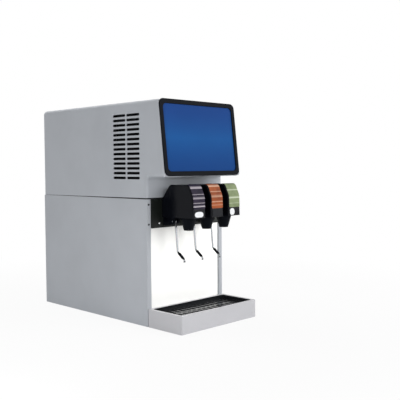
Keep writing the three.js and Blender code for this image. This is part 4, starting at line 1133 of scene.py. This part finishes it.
class DISPENSER_OT_drip_tray(bpy.types.Operator):
    """Drip tray with its inward rim and two ribs"""
    bl_idname = "dispenser.drip_tray"
    bl_label = "Drip tray"

    def execute(self, context):
        low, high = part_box("drip_tray")
        tray = rounded_block("drip_tray_shell", low, high, TRAY_CORNER, steps=LONG_CURVE_STEPS)
        wall = Vector((TRAY_WALL, TRAY_WALL, TRAY_WALL))
        rim = Vector((TRAY_RIM, TRAY_RIM, 0))
        cavity = rounded_block("cavity", low + wall, high - wall, TRAY_CORNER - TRAY_WALL / 2)
        mouth = rounded_block(
            "mouth", low + rim + Vector((0, 0, 2 * TRAY_WALL)), high - rim + Vector((0, 0, SHEET)),
            TRAY_RIM_CORNER, steps=LONG_CURVE_STEPS)
        carve(tray, cavity, mouth)
        ease(tray, context.scene.dispenser_sizes.tray_edge, steps=3, angle=STEEP_ANGLE)
        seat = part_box("cup_rest")[0].z - TRAY_GAP
        middle = (low.y + high.y) / 2
        ribs = []
        for side in (-1, 1):
            x = side * TRAY_RIB_SPREAD
            half = TRAY_RIB_WIDTH / 2
            rib = block(
                "rib", (x - half, low.y + TRAY_WALL / 2, low.z + TRAY_WALL / 2),
                (x + half, high.y - TRAY_WALL / 2, seat))
            notch = rounded_block(
                "notch", (x - TRAY_RIB_WIDTH, middle - TRAY_NOTCH, low.z + TRAY_WALL),
                (x + TRAY_RIB_WIDTH, middle + TRAY_NOTCH, low.z + TRAY_WALL + TRAY_NOTCH),
                TRAY_NOTCH / 4, axis=0, steps=3)
            ribs.append(carve(rib, notch))
        weld(tray, *ribs)
        dress(tray, "tray_paint", "drip_tray_body", ["drip_tray"])
        return {"FINISHED"}


class DISPENSER_OT_cup_rest(bpy.types.Operator):
    """Drop-in cup rest with its rows of slots"""
    bl_idname = "dispenser.cup_rest"
    bl_label = "Cup rest"

    def execute(self, context):
        low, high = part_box("cup_rest")
        rest = rounded_block("cup_rest_pan", low, high, TRAY_RIM_CORNER, steps=LONG_CURVE_STEPS)
        inside = Vector((REST_WALL, REST_WALL, TRAY_WALL))
        well = rounded_block(
            "well", low + inside, high - Vector((REST_WALL, REST_WALL, -SHEET)),
            TRAY_RIM_CORNER - REST_WALL, steps=LONG_CURVE_STEPS)
        carve(rest, well)
        edge = REST_WALL + REST_BORDER
        span_x = high.x - low.x - 2 * edge
        span_y = high.y - low.y - 2 * edge
        pitch_x = REST_SLOT + REST_BAR
        pitch_y = (span_y + REST_BAR) / 2
        columns = int((span_x + REST_BAR) / pitch_x)
        length = pitch_y - REST_BAR
        start = Vector((-(columns - 1) / 2 * pitch_x - REST_SLOT / 2,
                        (low.y + high.y) / 2 - pitch_y / 2 - length / 2, low.z - SHEET))
        slot = rounded_block(
            "slot", start, start + Vector((REST_SLOT, length, 4 * SHEET)),
            REST_SLOT * REST_SLOT_ROUND, steps=5)
        copies(slot, columns, (pitch_x, 0, 0))
        copies(slot, 2, (0, pitch_y, 0))
        carve(rest, slot)
        ease(rest, REST_EDGE, angle=STEEP_ANGLE)
        dress(rest, "rest_painted_reflection", "cup_rest_body", ["cup_rest"])
        return {"FINISHED"}


def valve_line(low, high):
    """Outer face of a valve cover from its shoulder over the crown and down the front."""
    return [
        (high.y, high.z - VALVE_CHAMFER),
        (high.y - VALVE_CROWN, high.z),
        (low.y + VALVE_TOP_REACH, high.z),
        (low.y + VALVE_BROW_REACH, high.z - VALVE_BROW_DROP),
        (low.y, low.z),
    ]


class DISPENSER_OT_valve_covers(bpy.types.Operator):
    """Glossy covers of the three valves"""
    bl_idname = "dispenser.valve_covers"
    bl_label = "Valve covers"

    def execute(self, context):
        edge = context.scene.dispenser_sizes.valve_edge
        low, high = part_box("valve_cover_1")
        line = [(high.y, low.z), *valve_line(low, high)]
        cover = prism(
            "valve_cover_shell_1", [(low.x, y, z) for y, z in line], (high.x - low.x, 0, 0),
            {2: VALVE_TOP_RADIUS, 3: VALVE_TOP_RADIUS, 4: VALVE_BROW_RADIUS}, steps=10)

        def long_edge(e):
            at_side = both(e, lambda p: min(abs(p.x - low.x), abs(p.x - high.x)) < TINY)
            at_foot = both(e, lambda p: p.z < low.z + TINY)
            at_back = both(e, lambda p: p.y > high.y - TINY)
            return at_side and not (at_foot or at_back or along(e, 0))

        round_edges(cover, long_edge, edge)
        pick(cover, "FACE", lambda f: f.normal.z < -NEARLY or (
            f.normal.y > NEARLY and f.calc_center_median().y > high.y - TINY))
        bpy.ops.mesh.delete(type="FACE")
        settle()
        thicken(cover, VALVE_WALL, (low + high) / 2)
        for n, piece in for_each_valve(cover, "valve_cover_shell"):
            dress(piece, "gloss_black", nodes=[f"valve_cover_{n}"])
        return {"FINISHED"}


def moved_out(line, distance):
    """A line of (y, z) moved to its outer side, with mitred corners."""
    points = [Vector(p) for p in line]
    normals = []
    for a, b in zip(points, points[1:]):
        run = (b - a).normalized()
        normals.append(Vector((run.y, -run.x)))
    result = []
    for k, point in enumerate(points):
        first = normals[max(k - 1, 0)]
        second = normals[min(k, len(normals) - 1)]
        result.append(point + (first + second) * (distance / (1 + first.dot(second))))
    return result


class DISPENSER_OT_valve_labels(bpy.types.Operator):
    """Plain banded label plates on the valve covers"""
    bl_idname = "dispenser.valve_labels"
    bl_label = "Valve labels"

    def execute(self, context):
        low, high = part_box("valve_cover_1")
        middle = (low.x + high.x) / 2
        _, _, crown, brow, foot = valve_line(low, high)
        share = LABEL_RISE / (brow[1] - foot[1])
        end = (foot[0] + (brow[0] - foot[0]) * share, foot[1] + LABEL_RISE)
        line = [(crown[0] + VALVE_TOP_RADIUS, crown[1]), crown, brow, end]
        face = moved_out([(-y, z) for y, z in line], -LABEL_GAP)
        label = trace(
            "valve_label_plate_1", [(middle - LABEL_WIDTH / 2, -p.x, p.y) for p in face],
            {1: VALVE_TOP_RADIUS, 2: VALVE_BROW_RADIUS}, steps=10)
        sweep(label, (LABEL_WIDTH, 0, 0))
        shape(label)
        pick(label, "VERT", lambda v: len(v.link_edges) == 2)
        bpy.ops.mesh.bevel(offset=LABEL_CORNER, segments=4, profile=0.5, affect="VERTICES")
        settle()
        away = Vector((middle, foot[0] - 1, foot[1] + 1))
        thicken(label, LABEL_THICKNESS, away)
        for n, piece in for_each_valve(label, "valve_label_plate"):
            dress(piece, LABELS[n - 1][0], nodes=[f"valve_label_{n}"])
        return {"FINISHED"}


class DISPENSER_OT_front_plates(bpy.types.Operator):
    """Smooth plates low on the fronts of the valve covers"""
    bl_idname = "dispenser.front_plates"
    bl_label = "Front plates"

    def execute(self, context):
        low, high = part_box("valve_cover_1")
        middle = (low.x + high.x) / 2
        *_, brow, foot = valve_line(low, high)
        lean = (brow[0] - foot[0]) / (brow[1] - foot[1])
        half = FRONT_PLATE_WIDTH / 2
        plate = rounded_block(
            "front_plate_1", (middle - half, -FRONT_PLATE_THICKNESS - LABEL_GAP, FRONT_PLATE_LOW),
            (middle + half, -LABEL_GAP / 2, FRONT_PLATE_HIGH), LABEL_CORNER / 2, axis=1)
        ease(plate, FRONT_PLATE_THICKNESS / 2, steps=3, angle=STEEP_ANGLE)
        plate.matrix_world = Matrix.Translation((0, foot[0], foot[1])) @ Matrix.Rotation(
            -math.atan(lean), 4, "X")
        fix_place(plate)
        for n, piece in for_each_valve(plate, "front_plate"):
            dress(piece, f"plate_gloss_{n}")
        return {"FINISHED"}


class DISPENSER_OT_valve_bodies(bpy.types.Operator):
    """Moulded valve bodies with their ears, sockets and nozzles"""
    bl_idname = "dispenser.valve_bodies"
    bl_label = "Valve bodies and nozzles"

    def execute(self, context):
        for n in VALVES:
            body = refined(f"valve_body_{n}", f"valve_body_moulding_{n}", BODY_EDGE)
            dress(body, "black_plastic", nodes=[f"valve_body_{n}"])
        low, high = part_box("nozzle_1")
        centre = Vector(((low.x + high.x) / 2, (low.y + high.y) / 2, 0))
        shoulder = high.z - NOZZLE_NECK
        inner = NOZZLE_NECK_RADIUS - NOZZLE_WALL
        band = NOZZLE_TOP_RADIUS - SHEET / 2
        profile = [
            (NOZZLE_TIP_RADIUS - NOZZLE_WALL, low.z),
            (NOZZLE_TIP_RADIUS, low.z),
            (NOZZLE_TIP_RADIUS + SHEET, low.z + 3 * SHEET),
            (band, shoulder - NOZZLE_BAND - SHEET),
            (NOZZLE_TOP_RADIUS, shoulder - NOZZLE_BAND),
            (NOZZLE_TOP_RADIUS, shoulder),
            (NOZZLE_NECK_RADIUS, shoulder),
            (NOZZLE_NECK_RADIUS, high.z),
            (inner, high.z),
            (inner, shoulder - NOZZLE_BAND - NOZZLE_WALL),
        ]
        nozzle = lathe("nozzle_skin_1", centre, profile)
        ease(nozzle, NOZZLE_EDGE)
        for n, piece in for_each_valve(nozzle, "nozzle_skin"):
            dress(piece, "black_plastic", f"nozzle_body_{n}", [f"nozzle_{n}"])
        return {"FINISHED"}


def crosswise_hub(centre, radius, width):
    """A cylinder across the machine."""
    settle()
    bpy.ops.mesh.primitive_cylinder_add(
        vertices=HUB_SIDES, radius=radius, depth=width, location=centre,
        rotation=(0, QUARTER, 0))
    return fix_place(called("hub"))


class DISPENSER_OT_levers(bpy.types.Operator):
    """Bent steel levers with their black sleeves"""
    bl_idname = "dispenser.levers"
    bl_label = "Levers"

    def execute(self, context):
        pin_low, pin_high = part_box("lever_pin_1")
        pivot = (pin_low + pin_high) / 2
        half = Vector((LEVER_WIDTH / 2, 0, 0))
        line = [pivot - half + Vector((0, y, z)) for y, z in LEVER_LINE]
        strap = trace(
            "lever_strap_1", line, dict(enumerate(LEVER_BENDS, 1)), steps=LONG_CURVE_STEPS)
        sweep(strap, 2 * half)
        applied(strap, "SOLIDIFY", thickness=LEVER_THICKNESS, offset=0, use_even_offset=True)
        weld(strap, crosswise_hub(pivot, HUB_RADIUS, HUB_WIDTH))
        carve(strap, crosswise_hub(pivot, PIN_BORE, 2 * HUB_WIDTH))
        ease(strap, LEVER_EDGE)

        start = pivot + Vector((0, *LEVER_LINE[2]))
        end = pivot + Vector((0, *LEVER_LINE[3]))
        run = end - start
        length = run.length * (1 - 2 * SLEEVE_START_SHARE)
        inside = LEVER_THICKNESS / 2 + SLEEVE_GAP
        half_x = LEVER_WIDTH / 2 + SLEEVE_GAP
        sleeve = rounded_block(
            "lever_grip_1", (-half_x - SLEEVE_WALL, -length / 2, -inside - SLEEVE_WALL),
            (half_x + SLEEVE_WALL, length / 2, inside + SLEEVE_WALL), SLEEVE_WALL, axis=1, steps=4)
        hollow = block("hollow", (-half_x, -length, -inside), (half_x, length, inside))
        carve(sleeve, hollow)
        ease(sleeve, SLEEVE_EDGE, angle=STEEP_ANGLE)
        sleeve.matrix_world = Matrix.Translation((start + end) / 2) @ Matrix.Rotation(
            math.atan2(run.z, run.y), 4, "X")
        fix_place(sleeve)
        levers = for_each_valve(strap, "lever_strap")
        grips = for_each_valve(sleeve, "lever_grip")
        for (n, lever), (_, grip) in zip(levers, grips):
            dress(lever, "lever_painted_reflection", f"lever_body_{n}", [f"lever_{n}"])
            dress(grip, "black_plastic", f"lever_body_{n}", [f"lever_sleeve_{n}"])
        return {"FINISHED"}


def screw_head(name):
    """A low domed head with a cross recess, its face towards -Y, about the origin."""
    settle()
    bpy.ops.mesh.primitive_cylinder_add(
        vertices=SCREW_SIDES, radius=SCREW_RADIUS, depth=SCREW_HEIGHT,
        rotation=(QUARTER, 0, 0), location=(0, -SCREW_HEIGHT / 2, 0))
    head = fix_place(called(name))
    round_edges(head, lambda e: both(e, lambda p: p.y < -SCREW_HEIGHT + TINY),
                SCREW_HEIGHT * SCREW_ROUND, 3)
    settle()
    long, thin = SCREW_RADIUS * RECESS_REACH, RECESS_WIDTH / 2
    for half_x, half_z in ((long, thin), (thin, long)):
        carve(head, block("recess", (-half_x, -2 * SCREW_HEIGHT, -half_z),
                          (half_x, -SCREW_HEIGHT * RECESS_FLOOR, half_z)))
    return head


def drive(head, name, finish, places):
    """Puts a copy of the screw head at each place."""
    for k, place in enumerate(places, 1):
        dress(duplicate(head, f"{name}_{k}", place), finish)


class DISPENSER_OT_screws(bpy.types.Operator):
    """Screws of the posts, the valve plate and the rear panel"""
    bl_idname = "dispenser.screws"
    bl_label = "Screws"

    def execute(self, context):
        head = screw_head("screw_pattern")
        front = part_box("left_side_panel")[0]
        plate_low, plate_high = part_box("valve_plate")
        x = abs(front.x + POST_SCREW_INSET)
        rows = (plate_low.z + POST_SCREW_LOW, plate_high.z - POST_SCREW_HIGH)
        drive(head, "post_screw", "black_enamel",
              [(side * x, front.y, z) for side in (-1, 1) for z in rows])
        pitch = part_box("valve_cover_2")[0].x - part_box("valve_cover_1")[0].x
        drive(head, "plate_screw", "stainless",
              [((k - len(VALVES) / 2) * pitch, plate_low.y, plate_low.z + PLATE_SCREW_RISE)
               for k in range(len(VALVES) + 1)])
        rear_low, rear_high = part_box("rear_panel")
        turned = duplicate(head, "rear_pattern")
        turned.matrix_world = Matrix.Rotation(math.pi, 4, "Z")
        fix_place(turned)
        drive(turned, "rear_screw", "zinc_steel",
              [(x, rear_high.y, rear_low.z + (rear_high.z - rear_low.z) * share)
               for x in (-REAR_SCREW_SPREAD, REAR_SCREW_SPREAD) for share in REAR_SCREW_SHARES])
        for pattern in (head, turned):
            bpy.data.objects.remove(pattern)
        return {"FINISHED"}


class DISPENSER_OT_carried_nodes(bpy.types.Operator):
    """Finishes of the model's own nodes that stay: rear fittings and inner machinery"""
    bl_idname = "dispenser.carried_nodes"
    bl_label = "Rear fittings and machinery"

    def execute(self, context):
        slots = {row["node"]: row["material_slot"] for row in frame["record"]["subparts"]}
        for name, node in frame["nodes"].items():
            if not node.hide_render:
                node.data.materials.clear()
                # The deck plate gets the dark painted-shade copy of its zinc finish.
                finish = "deck_painted_shade" if name == "deck_plate" else slots[name]
                node.data.materials.append(FINISHES[finish])
        return {"FINISHED"}


def looked_at(tree):
    """One for rays from the camera, from gloss or through glass, and zero for other light."""
    path = put(tree, "ShaderNodeLightPath")
    seen = reckon(tree, "MAXIMUM", path.outputs["Is Camera Ray"], path.outputs["Is Glossy Ray"])
    return reckon(tree, "MAXIMUM", seen, path.outputs["Is Transmission Ray"])


def lamp_disc(name, place, target, size, power):
    lamp = bpy.data.lights.new(name, "AREA")
    lamp.shape = "DISK"
    lamp.size = size
    lamp.energy = power
    holder = bpy.data.objects.new(name, lamp)
    aim = Vector(target) - Vector(place)
    holder.matrix_world = Matrix.Translation(Vector(place)) @ aim.to_track_quat(
        "-Z", "Y").to_matrix().to_4x4()
    bpy.context.scene.collection.objects.link(holder)


class DISPENSER_OT_stage(bpy.types.Operator):
    """Pale floor, soft light and the camera"""
    bl_idname = "dispenser.stage"
    bl_label = "Stage"

    def execute(self, context):
        stage = context.scene.dispenser_stage
        settle()
        bpy.ops.mesh.primitive_circle_add(
            vertices=FLOOR_SIDES, radius=FLOOR_RADIUS, fill_type="NGON")
        floor = called("floor")
        tree, shader = new_finish("pale_floor")
        fed(tree, shader, Base_Color=rgba((FLOOR_TONE,) * 3), Roughness=0.9)
        place = put(tree, "ShaderNodeTexCoord").outputs["Object"]
        far = put(tree, "ShaderNodeVectorMath", operation="LENGTH")
        joined(tree, place, far.inputs[0])
        share = between(tree, far.outputs["Value"], *FLOOR_FADE, FLOOR_WHITE, 1.0)
        glow = put(tree, "ShaderNodeEmission")
        fed(tree, glow, Color=(1, 1, 1, 1), Strength=1.0)
        mix = put(tree, "ShaderNodeMixShader")
        joined(tree, reckon(tree, "MULTIPLY", looked_at(tree), share), mix.inputs[0])
        joined(tree, shader.outputs[0], mix.inputs[1])
        joined(tree, glow.outputs[0], mix.inputs[2])
        joined(tree, mix.outputs[0], tree.nodes["Material Output"].inputs["Surface"])
        floor.data.materials.append(FINISHES["pale_floor"])

        world = bpy.data.worlds.new("white_room")
        world.use_nodes = True
        context.scene.world = world
        tree = world.node_tree
        light = tree.nodes["Background"]
        lift = reckon(tree, "MULTIPLY", looked_at(tree), 1 - stage.sky)
        joined(tree, reckon(tree, "ADD", lift, stage.sky), light.inputs["Strength"])
        fed(tree, light, Color=(1, 1, 1, 1))

        lamp_disc("key_lamp", *KEY_LAMP, stage.key_power)
        lamp_disc("top_lamp", *TOP_LAMP, stage.top_power)
        lamp_disc("low_lamp", *LOW_LAMP, stage.low_power)

        camera = bpy.data.objects.new("camera", bpy.data.cameras.new("camera"))
        camera.data.sensor_width = SENSOR_WIDTH
        camera.data.lens = stage.lens
        camera.data.clip_end = VIEW_DEPTH
        yaw, pitch, roll = stage.camera_yaw, stage.camera_pitch, stage.camera_roll
        ahead = Vector((math.sin(yaw) * math.cos(pitch), math.cos(yaw) * math.cos(pitch),
                        math.sin(pitch)))
        right = ahead.cross(Vector((0, 0, 1))).normalized()
        upward = right.cross(ahead)
        across = math.cos(roll) * right + math.sin(roll) * upward
        above = math.cos(roll) * upward - math.sin(roll) * right
        turn = Matrix((across, above, -ahead)).transposed().to_4x4()
        camera.matrix_world = Matrix.Translation(Vector(stage.camera_place)) @ turn
        context.scene.collection.objects.link(camera)
        context.scene.camera = camera
        context.scene.view_settings.view_transform = "Standard"
        return {"FINISHED"}


OPERATORS = (
    DISPENSER_OT_stage,
    DISPENSER_OT_upper_cover,
    DISPENSER_OT_side_panels,
    DISPENSER_OT_front_panels,
    DISPENSER_OT_display,
    DISPENSER_OT_drip_tray,
    DISPENSER_OT_cup_rest,
    DISPENSER_OT_valve_covers,
    DISPENSER_OT_valve_labels,
    DISPENSER_OT_front_plates,
    DISPENSER_OT_valve_bodies,
    DISPENSER_OT_levers,
    DISPENSER_OT_screws,
    DISPENSER_OT_carried_nodes,
)


class DISPENSER_PT_panel(bpy.types.Panel):
    """Lists the dispenser's settings and the operators that build it"""
    bl_idname = "DISPENSER_PT_panel"
    bl_label = "Drink dispenser"
    bl_space_type = "VIEW_3D"
    bl_region_type = "UI"
    bl_category = "Dispenser"

    def draw(self, context):
        scene = context.scene
        for group in (scene.dispenser_sizes, scene.dispenser_colours, scene.dispenser_stage):
            box = self.layout.box()
            for key in group.bl_rna.properties.keys():
                if key not in ("rna_type", "name"):
                    box.prop(group, key)
        for operator in OPERATORS:
            self.layout.operator(operator.bl_idname)


CLASSES = (DispenserSizes, DispenserColours, DispenserStage, *OPERATORS, DISPENSER_PT_panel)


def register():
    for cls in CLASSES:
        bpy.utils.register_class(cls)
    bpy.types.Scene.dispenser_sizes = bpy.props.PointerProperty(type=DispenserSizes)
    bpy.types.Scene.dispenser_colours = bpy.props.PointerProperty(type=DispenserColours)
    bpy.types.Scene.dispenser_stage = bpy.props.PointerProperty(type=DispenserStage)


def unregister():
    del bpy.types.Scene.dispenser_stage
    del bpy.types.Scene.dispenser_colours
    del bpy.types.Scene.dispenser_sizes
    for cls in reversed(CLASSES):
        bpy.utils.unregister_class(cls)


def main():
    register()
    make_effects()
    make_finishes(bpy.context.scene.dispenser_colours)
    bpy.ops.dispenser.stage()
    bpy.ops.dispenser.upper_cover()
    bpy.ops.dispenser.side_panels()
    bpy.ops.dispenser.front_panels()
    bpy.ops.dispenser.display()
    bpy.ops.dispenser.drip_tray()
    bpy.ops.dispenser.cup_rest()
    bpy.ops.dispenser.valve_covers()
    bpy.ops.dispenser.valve_labels()
    bpy.ops.dispenser.front_plates()
    bpy.ops.dispenser.valve_bodies()
    bpy.ops.dispenser.levers()
    bpy.ops.dispenser.screws()
    bpy.ops.dispenser.carried_nodes()


if __name__ == "__main__":
    main()
